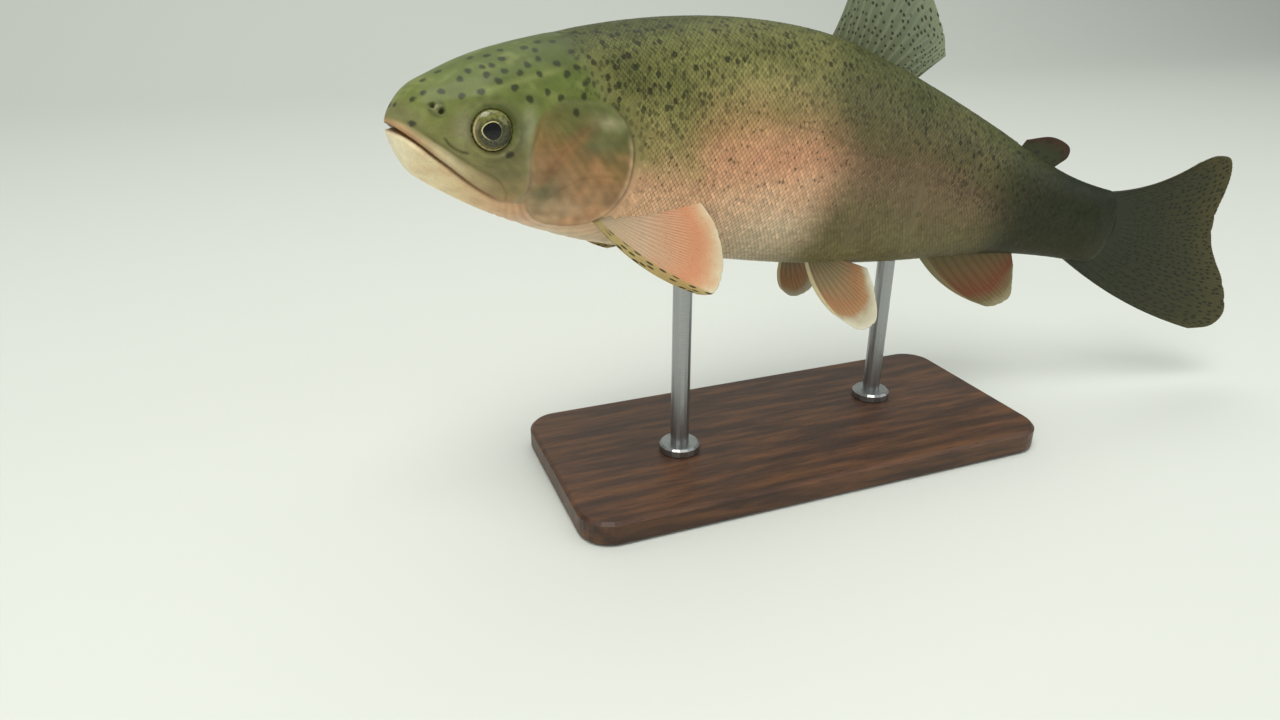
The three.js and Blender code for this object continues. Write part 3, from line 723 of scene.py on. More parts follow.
def socket_of(sockets, key):
    """A node's socket by its place, or by its name if it is in use."""
    return sockets[key] if isinstance(key, int) else next(s for s in sockets if s.name == key and s.enabled)


def add_node(tree, kind, inputs=None, stops=None, **settings):
    """Any node: its settings first, then the values or wires of its sockets."""
    made = tree.nodes.new(kind)
    for key, value in settings.items():
        setattr(made, key, value)
    for i, (place, code) in enumerate((stops or {}).items()):
        steps = made.color_ramp.elements
        step = steps[i] if i < len(steps) else steps.new(place)
        step.position, step.color = place, shade(code)
    for key, value in (inputs or {}).items():
        value, target = getattr(value, "socket", value), socket_of(made.inputs, key)
        if isinstance(value, bpy.types.NodeSocket):
            tree.links.new(value, target)
        else:
            target.default_value = shade(value) if str(value).startswith("#") else value
    return made


class Wire:
    """An output socket of a finish. Sums written with it become Math nodes."""

    def __init__(self, finish, socket):
        self.finish, self.socket = finish, socket

    def __abs__(self):
        return self.finish.maths("ABSOLUTE", self)


for word, operation in (
    ("add", "ADD"), ("sub", "SUBTRACT"), ("mul", "MULTIPLY"), ("truediv", "DIVIDE"), ("pow", "POWER"),
):
    setattr(Wire, f"__{word}__", lambda a, b, o=operation: a.finish.maths(o, a, b))
    setattr(Wire, f"__r{word}__", lambda a, b, o=operation: a.finish.maths(o, b, a))


class Finish:
    """A material being made: one Principled shader and the nodes that feed it."""

    def __init__(self, name, **constants):
        self.material = bpy.data.materials.new(name)
        self.material.use_nodes = True
        self.tree = self.material.node_tree
        self.shader = self.tree.nodes["Principled BSDF"]
        for socket, value in constants.items():
            self.shader.inputs[socket.replace("_", " ")].default_value = value

    def node(self, kind, inputs=None, out=0, **settings):
        return Wire(self, add_node(self.tree, "ShaderNode" + kind, inputs, **settings).outputs[out])

    def feed(self, **wires):
        for socket, wire in wires.items():
            self.tree.links.new(wire.socket, self.shader.inputs[socket.replace("_", " ")])

    def attribute(self, name, out=1):
        """A stored value by name: out 1 is its vector, out 2 its number."""
        return self.node("Attribute", out=out, attribute_name=name)

    def split(self, vector):
        return [self.node("SeparateXYZ", {0: vector}, out=i) for i in range(3)]

    def join(self, x, y, z=0.0):
        return self.node("CombineXYZ", {0: x, 1: y, 2: z})

    def maths(self, operation, *terms):
        return self.node("Math", dict(enumerate(terms)), operation=operation)

    def vector(self, operation, a, b):
        return self.node("VectorMath", {0: a, 1: b}, operation=operation)

    def scaled(self, colour, amount):
        return self.node("VectorMath", {0: colour, "Scale": amount}, operation="SCALE")

    def ease(self, value, low, high):
        """0 at low to 1 at high; low may be the larger."""
        return self.node("MapRange", {0: value, 1: low, 2: high, 3: 0.0, 4: 1.0}, interpolation_type="SMOOTHSTEP")

    def mix(self, a, b, amount):
        return self.node("Mix", {0: amount, 6: a, 7: b}, out=2, data_type="RGBA")

    def noise(self, place, size, detail=2.0, rough=0.5):
        """Cloudy noise from 0 to 1 with features of about size."""
        return self.node("TexNoise", {"Vector": place, "Scale": 1.0 / size, "Detail": detail, "Roughness": rough})

    def colour_of(self, wire):
        """The colour that a noise or scatter node gives beside its number."""
        return Wire(self, wire.socket.node.outputs["Color"])

    def spots(self, place, gap, jitter=1.0, flat=False):
        """Scattered points about gap apart: the distance to the nearest in gaps, and its own random number."""
        inputs = {"Vector": place, "Scale": 1.0 / gap, "Randomness": jitter}
        cell = self.node("TexVoronoi", inputs, voronoi_dimensions="2D" if flat else "3D", feature="F1")
        return cell, self.node("SeparateColor", {0: self.colour_of(cell)})

    def bump(self, height, distance, strength=1.0):
        self.feed(Normal=self.node("Bump", {"Height": height, "Distance": distance, "Strength": strength}))


def trout_markings(f):
    """The skin's own paint with its black spots on it, and painted shade in the creases of the head: returns colour,
    spots and fine grain.
    """
    place = f.attribute("straight")
    along, crease_shade, height = f.split(f.attribute("chart"))
    grain = f.noise(place, 1.1, 3.0, 0.6)
    cloud = f.noise(place, 26.0, 2.0)
    shift = f.vector("MULTIPLY", f.vector("SUBTRACT", f.colour_of(grain), (0.5, 0.5, 0.5)), (1.5, 1.5, 1.5))
    ragged = f.vector("ADD", place, shift)

    def marks(squash, gap, jitter, size, soft, rare, sure):
        """Scattered marks of a size, and each one's own number."""
        far, pick = f.spots(f.vector("MULTIPLY", ragged, squash), gap, jitter)
        return f.ease(far, size, soft) * f.ease(pick, rare, sure), pick

    # Crowded upright dashes over the back, spreading down over the whole tail stalk
    reach_down = height + (cloud - 0.5) * 0.4 + f.ease(along, 205.0, 345.0) * 0.6
    reach_down = reach_down + f.ease(along, 140.0, 95.0) * 0.3
    small, pick = marks((1.2, 0.85, 0.8), 2.5, 0.95, 0.46, 0.30, 0.02, 0.15)
    small = small * (0.45 + pick * 0.55) * f.ease(reach_down, 0.10, 0.42)
    # Larger round ones, crowded on the nape and thinning out behind it
    rare = 0.12 + f.ease(along, 95.0, 190.0) * 0.5
    large = marks((1.1, 0.9, 0.9), 4.3, 0.95, 0.34, 0.24, rare, rare + 0.08)[0] * f.ease(reach_down, 0.3, 0.55)
    # Fine broken crosses scattered over the rose
    crosses = marks((1.1, 0.9, 0.9), 2.7, 1.0, 0.30, 0.18, 0.35, 0.5)[0]
    crosses = crosses * f.ease(height, -0.5, -0.15) * f.ease(height, 0.5, 0.25) * f.ease(along, 260.0, 180.0)
    spotting = f.maths("MAXIMUM", small * 0.85, f.maths("MAXIMUM", large, crosses * 0.8))
    spotting = f.maths("MAXIMUM", spotting * (1 - f.attribute("bare", 2)), f.attribute("speck", 2))
    look = f.mix(f.attribute("paint"), "#1e2114", spotting * 0.80)
    # Painted shade in the creases, openings and eye sockets of the head
    look = f.mix(look, "#3a2b1a", f.maths("MINIMUM", crease_shade * 0.8, 0.85))
    far, pick = f.spots(place, 0.9, 0.9)
    pores = f.ease(far, 0.32, 0.15) * f.ease(pick, 0.4, 0.7)
    return f.scaled(look, (0.86 + grain * 0.28) * (1 - pores * 0.12)), spotting, grain


def set_piece(thing, finish, slot, *nodes):
    """Gives a finished piece its material and hides the solids that it stands for; the slot is not used."""
    if finish:
        thing.data.materials.append(finish.material)
    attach(thing, "root")
    if nodes:
        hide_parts(*nodes)


bare_skin = Finish("bare_skin", Coat_Weight=0.08, Coat_Roughness=0.14, Specular_IOR_Level=0.18)
colour, spotting, grain = trout_markings(bare_skin)
bare_skin.feed(Base_Color=colour, Roughness=0.40 + grain * 0.2)
bare_skin.bump(grain, 0.00008, 0.35)
set_piece(
    trout_skin, bare_skin, "flank_skin", "head", "lower_jaw", "maxilla_left", "maxilla_right", "gill_cover_left",
    "gill_cover_right", "trunk_front", "trunk_rear", "tail_stalk")

# ----------------------------------------
# Scales: small thin plates of horn in slanting rows, each rooted in the skin under the
# one ahead of it, smallest behind the gills and towards the tail. They are laid by one
# tree on root points that follow the lie of the body.
# ----------------------------------------
# Rows round the body in each stretch, [from, to, rows]: some run out towards the tail
SCALE_ZONES = [(60, 212, 200), (212, 248, 176), (248, 284, 154), (284, 318, 134), (318, 411, 116)]
SCALE_STRIDE = 1.6  # length shown, in row heights
SCALE_OVERLAP = 1.75  # whole length, in lengths shown
SCALE_WIDTH = 2.12  # in row heights
SCALE_LIFT = 0.24  # millimetres the free edge stands over the skin
SCALE_BURIED = 0.10
FIN_FROM, FIN_HALF, SCALES_TO = 388.0, 2.2, 403.0  # the tail fin's root, its half width and the last scales
BAKE_PATCH = 0.003
BLADE_EDGE = [(0.0, 0.30), (0.38, 0.50), (0.70, 0.44), (0.90, 0.26)]


def one_scale():
    """A single scale, 1 long and 1 wide: a low dome on a flat underside, its rim kept sharp."""
    rim = BLADE_EDGE + [(1.0, 0.0)] + [(x, -y) for x, y in reversed(BLADE_EDGE)]
    points = [(x, y, x) for x, y in rim] + [(0.55, 0.0, 0.86)]
    turn = np.arange(len(rim))
    top = np.stack([turn, 0 * turn + len(rim), (turn + 1) % len(rim)], 1)
    thing = mesh_object("one_scale", points, [top, turn[None]], {"blade": points})
    sharp = thing.data.attributes.new("sharp_edge", "BOOLEAN", "EDGE")
    for i, edge in enumerate(thing.data.edges):
        sharp.data[i].value = len(rim) not in edge.vertices
    return thing


def scale_roots():
    """Root points of all scales: arrays by name, as the tree and the markings need them."""
    table_x = np.arange(55.0, BODY_LENGTH, 2.0)
    table_girdle = girdle(table_x)
    found = []
    for start, end, rows in SCALE_ZONES:
        columns, x = [], start - 8.0
        while x < min(end + 8.0, BODY_LENGTH - 0.9):
            columns.append(x)
            x += float(np.interp(x, table_x, table_girdle)) / rows * SCALE_STRIDE / 2
        for parity in (0, 1):
            x = np.array(columns[parity::2])
            q = (np.arange(parity, rows, 2) + 0.5) / rows
            root, aft, turn = skin(x, q)[0], skin(x + 0.8, q)[0], skin(x, q + 1e-3)[0]
            row_height = np.interp(x, table_x, table_girdle)[:, None] / rows
            along, sideways, z = np.moveaxis(root, -1, 0)
            none = 0 * along
            h, side = height_of(q) + none, np.where(q < 0.5, -1.0, 1.0) + none
            lead = scale_lead(along, z, h)
            wavy = along + 4 * np.sin(2 * math.pi * (3 * q + start * 0.37))
            clear_of_fin = (along < FIN_FROM) | ((np.abs(sideways) > FIN_HALF) & (along < SCALES_TO))
            mine = (wavy >= start) & (wavy < end) & (lead > 0) & clear_of_fin
            last = ease(x, 380, 402)[:, None]
            opened = (0.25 + 0.75 * ease(lead, 0, SCALE_FADE)) * (1 - 0.95 * last)
            length = row_height * SCALE_STRIDE * SCALE_OVERLAP * (0.75 + 0.25 * opened) * (1 - 0.35 * last)
            width = row_height * SCALE_WIDTH + none
            lift = SCALE_LIFT * opened + SCALE_BURIED * (1 - 0.8 * last)
            across = (turn - root) / np.linalg.norm(turn - root, axis=2, keepdims=True) * width[..., None]
            place, behind = bent(root), bent(aft)
            out = np.cross(bent(turn) - place, behind - place)
            out /= np.linalg.norm(out, axis=2, keepdims=True)
            values = {
                "position": place - out * SCALE_BURIED / 1000, "aft": behind - place, "out": out,
                "size": np.stack([length, width, lift], -1) / 1000, "straight": root,
                "reach": np.stack([length, -across[..., 1], -across[..., 2]], -1),
                "chart": np.stack([along, none, h], -1),
                "drift": np.stack([length, none, none - side * 4 * SCALE_WIDTH / rows], -1),
                "patch": np.stack([none, 0.01 + 1.96 * np.minimum(q, 1 - q) + none, none], -1),
                "open": opened, "side": side,
            }
            found.append({key: value[mine] for key, value in values.items()})
    return {key: np.concatenate([part[key] for part in found]) for key in found[0]}


def scale_tree():
    """Lays the scale on every root point, realizes it and carries the markings' places over to it."""
    tree = bpy.data.node_groups.new("lay_scales", "GeometryNodeTree")
    for name, kind in (
        ("Roots", "Geometry"), ("Scale", "Object"), ("Finish", "Material"), ("Tilt Spread", "Float"),
        ("Turn Spread", "Float"), ("Seed", "Int"), ("Patch", "Float"),
    ):
        tree.interface.new_socket(name, in_out="INPUT", socket_type="NodeSocket" + kind)
    tree.interface.new_socket("Scales", in_out="OUTPUT", socket_type="NodeSocketGeometry")
    given = tree.nodes.new("NodeGroupInput").outputs

    def add(kind, inputs=None, **settings):
        return socket_of(add_node(tree, kind, inputs, **settings).outputs, 0)

    def named(key):
        return add("GeometryNodeInputNamedAttribute", {"Name": key}, data_type="FLOAT_VECTOR")

    def maths(operation, a, b, kind="ShaderNodeVectorMath"):
        return add(kind, {0: a, 1: b}, operation=operation)

    def vector(x, y, z):
        return add("ShaderNodeCombineXYZ", {0: x, 1: y, 2: z})

    def chance(spread, offset):
        """A random number from -spread to spread, its own for each scale."""
        low = maths("MULTIPLY", spread, -1.0, "ShaderNodeMath")
        seed = maths("ADD", given["Seed"], float(offset), "ShaderNodeMath")
        inputs = {"Min": low, "Max": spread, "Seed": seed}
        node = add_node(tree, "FunctionNodeRandomValue", inputs, data_type="FLOAT")
        return socket_of(node.outputs, "Value")

    lie = add("FunctionNodeAxesToRotation", {"Primary Axis": named("out"), "Secondary Axis": named("aft")},
              primary_axis="Z", secondary_axis="X")
    tilt, turn = given["Tilt Spread"], given["Turn Spread"]
    by = add("FunctionNodeEulerToRotation", {0: vector(chance(turn, 1), chance(tilt, 2), chance(turn, 3))})
    lie = add("FunctionNodeRotateRotation", {0: lie, 1: by}, rotation_space="LOCAL")
    source = add_node(tree, "GeometryNodeObjectInfo", {"Object": given["Scale"]}, transform_space="ORIGINAL")
    flow = add("GeometryNodeInstanceOnPoints", {
        "Points": given["Roots"], "Instance": source.outputs["Geometry"], "Rotation": lie, "Scale": named("size")})
    flow = add("GeometryNodeRealizeInstances", {0: flow})
    blade = named("blade")
    split = add_node(tree, "ShaderNodeSeparateXYZ", {0: blade}).outputs
    ahead = vector(split[0], split[1], split[1])
    half = vector(given["Patch"], given["Patch"], 0.0)
    for key, start, step, kind, domain in (
        ("straight", "straight", maths("MULTIPLY", ahead, named("reach")), "FLOAT_VECTOR", "POINT"),
        ("chart", "chart", maths("MULTIPLY", ahead, named("drift")), "FLOAT_VECTOR", "POINT"),
        ("OFBake", "patch", maths("MULTIPLY", blade, half), "FLOAT2", "CORNER"),
    ):
        inputs = {"Geometry": flow, "Name": key, "Value": maths("ADD", named(start), step)}
        flow = add("GeometryNodeStoreNamedAttribute", inputs, data_type=kind, domain=domain)
    flow = add("GeometryNodeSetMaterial", {"Geometry": flow, "Material": given["Finish"]})
    tree.links.new(flow, tree.nodes.new("NodeGroupOutput").inputs[0])
    return tree


def run_tree(name, mesh, tree, values):
    """Runs the tree with values by name over a mesh, and returns the finished plain object."""
    thing = show(name, mesh)
    modifier = thing.modifiers.new("lay", "NODES")
    modifier.node_group = tree
    sockets = {s.name: s.identifier for s in tree.interface.items_tree if s.in_out == "INPUT"}
    for key, value in values.items():
        modifier[sockets[key]] = value
    made = bpy.data.meshes.new_from_object(thing.evaluated_get(bpy.context.evaluated_depsgraph_get()))
    thing.modifiers.remove(modifier)
    bpy.data.objects.remove(thing)
    made.name = name
    return show(name, made)


f = Finish("scale_skin", Coat_Weight=0.04, Coat_Roughness=0.22, Specular_IOR_Level=0.14)
colour, spotting, grain = trout_markings(f)
blade_x, blade_y, _ = f.split(f.attribute("blade"))
opened = f.attribute("open", 2)
along, _, height = f.split(f.attribute("chart"))
free_edge = f.ease(blade_x + blade_y * blade_y * 0.9, 0.78, 0.99) * opened
shine = f.ease(blade_x, 0.42, 0.60) * (1 - free_edge)
worn = f.noise(f.attribute("straight"), 5.0, 3.0, 0.6)
net = 0.18 + 0.34 * f.ease(worn, 0.3, 0.7) + 0.24 * f.ease(along, 190.0, 110.0)
colour = f.scaled(colour, (1 - free_edge * net) * (0.97 + shine * opened * 0.16))
pearl = f.ease(height, 0.55, -0.2) * 0.22 * (1 - spotting)
f.feed(Base_Color=colour, Roughness=0.42 + grain * 0.16, Metallic=pearl)
f.bump(grain, 0.00006, 0.3)

roots = scale_roots()
uneven = np.random.default_rng(21).normal(size=len(roots["open"]))
roots["paint"] = paint(roots["straight"], roots["chart"][:, 2]) * (1 + 0.09 * uneven)[:, None]
tree, blade_source = scale_tree(), one_scale()
LENGTH_CUT = 190.0
for word, side in (("left", -1), ("right", 1)):
    for part, low, high in (("front", 0.0, LENGTH_CUT), ("rear", LENGTH_CUT, 1e3)):
        x = roots["straight"][:, 0]
        mine = (roots["side"] == side) & (x >= low) & (x < high)
        x = x[mine]
        roots["patch"][mine, 0] = 0.01 + 0.98 * (x - x.min()) / np.ptp(x)
        mesh = bpy.data.meshes.new("roots")
        mesh.vertices.add(len(x))
        store_values(mesh, {key: array[mine] for key, array in roots.items()})
        scales = run_tree(f"scales_{word}_{part}", mesh, tree, {
            "Scale": blade_source, "Finish": f.material, "Tilt Spread": 0.018, "Turn Spread": 0.03, "Seed": 7,
            "Patch": BAKE_PATCH})
        for key in ("aft", "out", "size", "reach", "drift", "patch", "side"):
            scales.data.attributes.remove(scales.data.attributes[key])
        set_piece(scales, None, "flank_skin")
bpy.data.objects.remove(blade_source)

# ----------------------------------------
# Eyes: wet globes with a clear coat, set in the sockets. Painted on each lie a black pupil
# drawn out a little to the front, a thin gold ring, a dark olive iris with old gold on
# its upper side, and a pale rim.
# ----------------------------------------
f = Finish("eye", Coat_Weight=0.6, Coat_Roughness=0.03, Specular_IOR_Level=0.1)
iris = f.attribute("iris")
a, b, _ = f.split(iris)
swirl = f.noise(iris, 1.3, 3.0, 0.6)
rays = f.noise(f.join(a * 3, b * 3), 2.2, 4.0, 0.7)
rho = (a * a + b * b) ** 0.5
front = f.ease(a, 0.6, -3.6)
drawn = (a + 0.5) * (1 - front * 0.12)
pupil = (drawn * drawn + b * b) ** 0.5 + abs(b) * front * 0.12
upward, aftward = b / (rho + 0.01), a / (rho + 0.01)
gold = f.ease(upward, 0.15, 0.85) * f.ease(rho, 3.7, 4.6) * f.ease(swirl, 0.2, 0.6)
outer = f.ease(upward + aftward * 0.8, 0.5, -0.8) * f.ease(rays, 0.3, 0.6)
broken = f.ease(rays + upward * 0.2 - aftward * 0.3, 0.3, 0.75)
look = f.mix("#2e301c", "#535233", f.ease(swirl, 0.3, 0.75))
for tint, mask in (
    ("#75682f", f.ease(rho, 4.6, 5.6) * f.ease(upward + aftward, 0.2, -0.9) * 0.6),
    ("#7f8043", gold * 0.7),
    ("#23241b", f.ease(abs(rho - 5.2), 0.7, 0.2) * f.ease(upward, 0.5, -0.2) * 0.5),
    ("#c3ba8a", f.ease(abs(rho - 6.6), 0.34, 0.12) * (0.12 + 0.78 * outer)),
    ("#1d1e12", f.ease(rho, 6.85, 7.15) * 0.7),
    ("#cfc38c", f.ease(abs(pupil - 3.25), 0.30, 0.10) * (0.15 + 0.8 * broken)),
    ("#080a0b", f.ease(pupil, 3.20, 3.00)),
):
    look = f.mix(look, tint, mask)
f.feed(Base_Color=look, Roughness=0.22 + 0.1 * swirl)

EYE_RINGS, EYE_SPOKES = 44, 80
EYE_SUNK = 0.12
spoke = np.arange(EYE_SPOKES)
angle = spoke * 2 * math.pi / EYE_SPOKES
reach = np.sin(np.linspace(0, math.pi / 2, EYE_RINGS // 2 + 1)) * EYE_RADIUS
hollow = -EYE_DEPTH * 0.9 * np.sqrt(np.clip(1 - (reach[-2::-1] / EYE_RADIUS) ** 2, 0, 1))
radii = np.concatenate([reach, reach[-2::-1]])
levels = np.concatenate([eye_height(reach) + 0.08 * bell(reach, 2.9), hollow]) - EYE_SUNK
levels[-1] += EYE_SUNK
rings = len(radii) - 2
flat = (radii[1:-1, None, None] * np.stack([np.cos(angle), np.sin(angle)], 1)).reshape(-1, 2)
flat = np.vstack([flat, [[0, 0], [0, 0]]])
level = np.concatenate([np.repeat(levels[1:-1], EYE_SPOKES), levels[[0, -1]]])
last = (rings - 1) * EYE_SPOKES
after, middle = (spoke + 1) % EYE_SPOKES, 0 * spoke + rings * EYE_SPOKES
caps = np.vstack([np.stack([spoke, after, middle], 1), np.stack([last + after, last + spoke, middle + 1], 1)])
for word, side in (("left", -1), ("right", 1)):
    axis, up = eye_axis(side), np.array([0.0, 0.0, 1.0])
    aft = np.cross(up, axis) * -side
    points = np.array(EYE_AT) * [1, side, 1] + flat @ np.stack([aft, up]) + level[:, None] * axis
    faces = [quads[:, ::-side] for quads in (ring_quads(0, rings, EYE_SPOKES), caps)]
    eye = mesh_object("eye_globe_" + word, bent(points), faces, {"iris": np.column_stack([flat, 0 * level])})
    set_piece(eye, f, "eye", "eye_" + word)

# ----------------------------------------
# Fins: thin webs of skin stretched on soft jointed rays, which fork towards the edge.
# The rays stand out of the web, the first ones are stout and unforked, and the edge is
# a little scalloped between them. Each is rooted in the body on a fleshy base.
# ----------------------------------------
def even(values, u):
    """A smooth curve through evenly spaced values, u from 0 to 1."""
    return curve(np.stack([np.linspace(0, 1, len(values)), values], 1), u)


def ray_ridges(u, v, rays, forks):
    """How high the rays stand at u and v: 1 on a ray, 0 on the web between."""
    first, second = forks
    off = np.abs(u * rays % 1 - 0.5)
    off = np.abs(off - 0.25 * ease(v, first, first + 0.4))
    off = np.abs(off - 0.125 * ease(v, second, second + 0.3))
    return bell(off, 0.17 - 0.07 * ease(v, first, first + 0.3) - 0.045 * ease(v, second, second + 0.25))


FIN_INSET = 0.3  # millimetres kept inside the plain outline of the fin
FIN_USUAL = {"notch": 0.5, "stout": 0.5, "ridge": 1.0, "bare": 0.12, "side": 1, "turned": False,
             "foot": (0, 0, 0), "flare": 0, "lean": 0}


def fin_object(name, fin):
    """A closed thin fin with raised rays, its two faces meeting in a rounded rim."""
    across, along = fin["grid"]
    u = np.concatenate([[0, 0.003, 0.008], np.linspace(0, 1, across)[1:-1], [0.992, 0.997, 1]])
    u = np.unique(np.round(u, 5))
    v = np.unique(np.round(np.concatenate([np.linspace(0, 1, along), [0.985, 0.995]]), 5))
    uu, vv = np.meshgrid(u, v, indexing="ij")
    x0, z0, x1, z1 = (even(line, u)[:, None] for key in ("root", "tip") for line in np.transpose(fin[key]))
    dx, dz = x1 - x0, z1 - z0
    reach = np.hypot(dx, dz)

    # The edge is scalloped between the rays and worn in places; the fin bows along its rays
    scallop = 0.5 + 0.5 * np.cos(2 * math.pi * u * fin["rays"] * 4)
    worn = (0.5 + 0.5 * np.sin(u * 41 + 3 * np.sin(u * 17))) ** 5
    notch = (FIN_INSET + fin["notch"] * (0.35 * scallop + 1.1 * worn))[:, None] / reach
    vs = vv * (1 - notch * vv ** 6)
    bow = even(fin["bow"], u)[:, None] * 4 * vs * (1 - vs) / reach
    x, z = x0 + dx * vs + dz * bow, z0 + dz * vs - dx * bow

    # Thickness: fleshy at the root, raised on each ray, stout in front, thinned to the rim
    root_thick, edge_thick = fin["thick"]
    ridge = ray_ridges(uu, vv, fin["rays"], fin["forks"]) * ease(vv, 0.0, fin["bare"])
    thick = edge_thick * 0.55 + (root_thick - edge_thick * 0.55) * np.exp(-vv / 0.16)
    thick += ridge * edge_thick * (0.75 - 0.45 * vv) * fin["ridge"]
    thick += fin["stout"] * np.exp(-uu / 0.035) * (1 - 0.6 * vv)
    rim_gap = np.minimum(np.minimum(uu, 1 - uu) * fin["wide"], (1 - vv) * reach)
    thick *= np.sqrt(np.clip(rim_gap / 0.7, 0, 1))
    sway = np.sin(2 * math.pi * (uu * 1.3 + 0.15)) * np.clip(np.sin(math.pi * uu), 0, 1) ** 0.5

    # A paired fin is flared out to the back and leaned out below
    foot_x, foot_y, foot_z = fin["foot"]
    flare, lean = math.tan(math.radians(fin["flare"])), math.tan(math.radians(fin["lean"]))
    middle = foot_y + (x - foot_x) * flare - (z - foot_z) * lean + fin["wave"] * vv ** 1.5 * sway
    faces = [np.stack([x, fin["side"] * (middle + half), z], -1) for half in (-thick / 2, thick / 2)]
    points = np.stack(faces).reshape(-1, 3)
    index = np.arange(uu.size).reshape(uu.shape)
    other = index + uu.size
    other[0], other[-1], other[:, -1] = index[0], index[-1], index[:, -1]
    near, far = (
        np.stack([grid[:-1, :-1], grid[1:, :-1], grid[1:, 1:], grid[:-1, 1:]], -1).reshape(-1, 4)
        for grid in (index, other))
    foot = np.stack([index[:-1, 0], other[:-1, 0], other[1:, 0], index[1:, 0]], -1)
    quads, corners = [near, far[:, ::-1], foot], []
    for quad, shift in zip(quads, (0.01, 0.51, 0.01)):
        base = quad % uu.size
        corners.append(np.stack([uu.flat[base] * 0.48 + shift, vv.flat[base] * 0.98 + 0.01], -1))
    quads, corners = np.vstack(quads), np.vstack(corners)
    if fin["turned"]:
        quads, corners = quads[:, ::-1], corners[:, ::-1]
    used, quads = np.unique(quads, return_inverse=True)
    vane = np.tile(np.stack([uu, vv, ridge], -1).reshape(-1, 3), (2, 1))
    values = {"straight": points[used], "vane": vane[used]}
    return mesh_object(name, bent(points[used]), [quads.reshape(-1, 4)], values, corners.reshape(-1, 2))


def fin_finish(name, colours, ray, spotted=None, lead=None):
    """A fin's finish: web colours from root to edge, tinted rays, a leading band and rows of spots."""
    f = Finish(name, Coat_Weight=0.06, Coat_Roughness=0.2, Specular_IOR_Level=0.22)
    place = f.attribute("straight")
    u, v, ridge = f.split(f.attribute("vane"))
    cloud, grain = f.noise(place, 11.0, 2.0), f.noise(place, 1.1, 3.0, 0.6)
    web = f.node("ValToRGB", {0: v + (cloud - 0.5) * 0.22}, stops=colours)
    look = f.mix(web, ray[0], ridge * ray[1])
    if lead:
        tint, width, amount = lead
        look = f.mix(look, tint, f.ease(u, width * 1.1, width * 0.8) * amount)
    joint = f.ease(f.maths("FRACT", v * 46), 0.72, 0.95)
    look = f.mix(look, "#2c2818", joint * ridge * f.ease(v, 0.25, 0.5) * 0.18)
    if spotted:
        columns, rows, size, low, high, depth, keep = spotted
        far, pick = f.spots(f.join(u * columns + (grain - 0.5) * 0.2, v * rows), 1.0, 0.75, flat=True)
        mask = f.ease(far, size, size * 0.6) * f.ease(pick, keep, keep + 0.1)
        mask = mask * f.ease(v, low, low + 0.12) * f.ease(u, high + 0.02, high)
        look = f.mix(look, "#1d2015", mask * depth)
    look = f.mix(look, "#1a170d", f.ease(grain, 0.5, 0.2) * 0.2)
    f.feed(Base_Color=look, Roughness=0.42 + grain * 0.15)
    f.bump(grain, 0.00006, 0.4)
    return f


def set_fin(name, node, slot, finish, **fin):
    set_piece(fin_object(name, {**FIN_USUAL, **fin}), finish, slot, node)


# Tail fin: a dark olive web, darkened further by painted shade, with rows of dark spots and darker rays
tail_finish_with_shade = fin_finish(
    "tail_web", {0.0: "#2b2e1e", 0.35: "#303320", 0.75: "#3d3c24", 1.0: "#504b2b"},
    spotted=(46, 17, 0.31, 0.06, 1.0, 0.85, 0.04), ray=("#23261a", 0.3))
set_fin(
    "fin_tail", "tail_fin", "dark_fin", tail_finish_with_shade,
    root=[(383, 17.8), (392, 12), (397, 3), (397, -4), (390, -13), (373, -20.6)],
    tip=[(440, 40), (451.5, 43.7), (462.4, 42), (464.9, 30), (461, 14), (460.8, 3.5), (463, -6), (468.4, -16),
         (475.3, -27), (480.3, -39.5), (481.8, -50.5), (476, -57.4), (463.5, -58)],
    bow=[3.2, 1.5, 0, 0, 1, 0.5], thick=(3.6, 0.9), rays=19, forks=(0.28, 0.6), grid=(320, 60), wave=0.9, wide=90,
    bare=0.14)

back_finish = fin_finish(
    "back_fin_web", {0.0: "#565b3b", 0.3: "#646b50", 0.7: "#6f7860", 1.0: "#848a6e"},
    spotted=(20, 14, 0.27, 0.03, 1.0, 0.85, 0.12), ray=("#949d80", 0.28))
set_fin(
    "fin_back", "dorsal_fin", "dark_fin", back_finish,
    root=[(194, 50), (220, 47), (246, 42)], tip=[(199, 92), (210, 97.5), (234, 89), (256, 71), (262, 60)],
    bow=[2, 1, 0], thick=(2.6, 0.8), rays=12, forks=(0.35, 0.68), grid=(210, 44), wave=1.2, wide=60)

fatty_finish = fin_finish(
    "fatty_fin", {0.0: "#3e432a", 0.6: "#34371f", 0.85: "#3d2a1b", 1.0: "#38201a"},
    spotted=(5, 3, 0.25, 0.1, 0.9, 0.6, 0.4), ray=("#454a2d", 0.1))
set_fin(
    "fin_fatty", "adipose_fin", "dark_fin", fatty_finish,
    root=[(322, 26), (334, 23), (345, 21)], tip=[(325, 34), (339, 38.5), (351, 36.5), (353.5, 31), (349, 26)],
    bow=[0, 0, 0], thick=(3.2, 1.4), rays=30, forks=(0.5, 0.8), grid=(60, 24), wave=0.2, wide=25, notch=0.0,
    stout=0.3, ridge=0.05)

anal_finish = fin_finish(
    "anal_web", {0.0: "#64613b", 0.35: "#745a38", 0.7: "#7c472d", 0.88: "#7f6f4a", 1.0: "#a59d7b"},
    ray=("#4a331f", 0.35), lead=("#8f8862", 0.08, 0.7))
set_fin(
    "fin_anal", "anal_fin", "warm_fin", anal_finish,
    root=[(284, -34), (314, -27), (341, -20)], tip=[(336, -55.5), (344.5, -56), (353, -49), (352, -40), (348, -31)],
    bow=[4, 0.5, 0], thick=(2.4, 0.8), rays=11, forks=(0.35, 0.7), grid=(190, 40), wave=0.7, wide=40, notch=0.4,
    stout=0.4, turned=True)

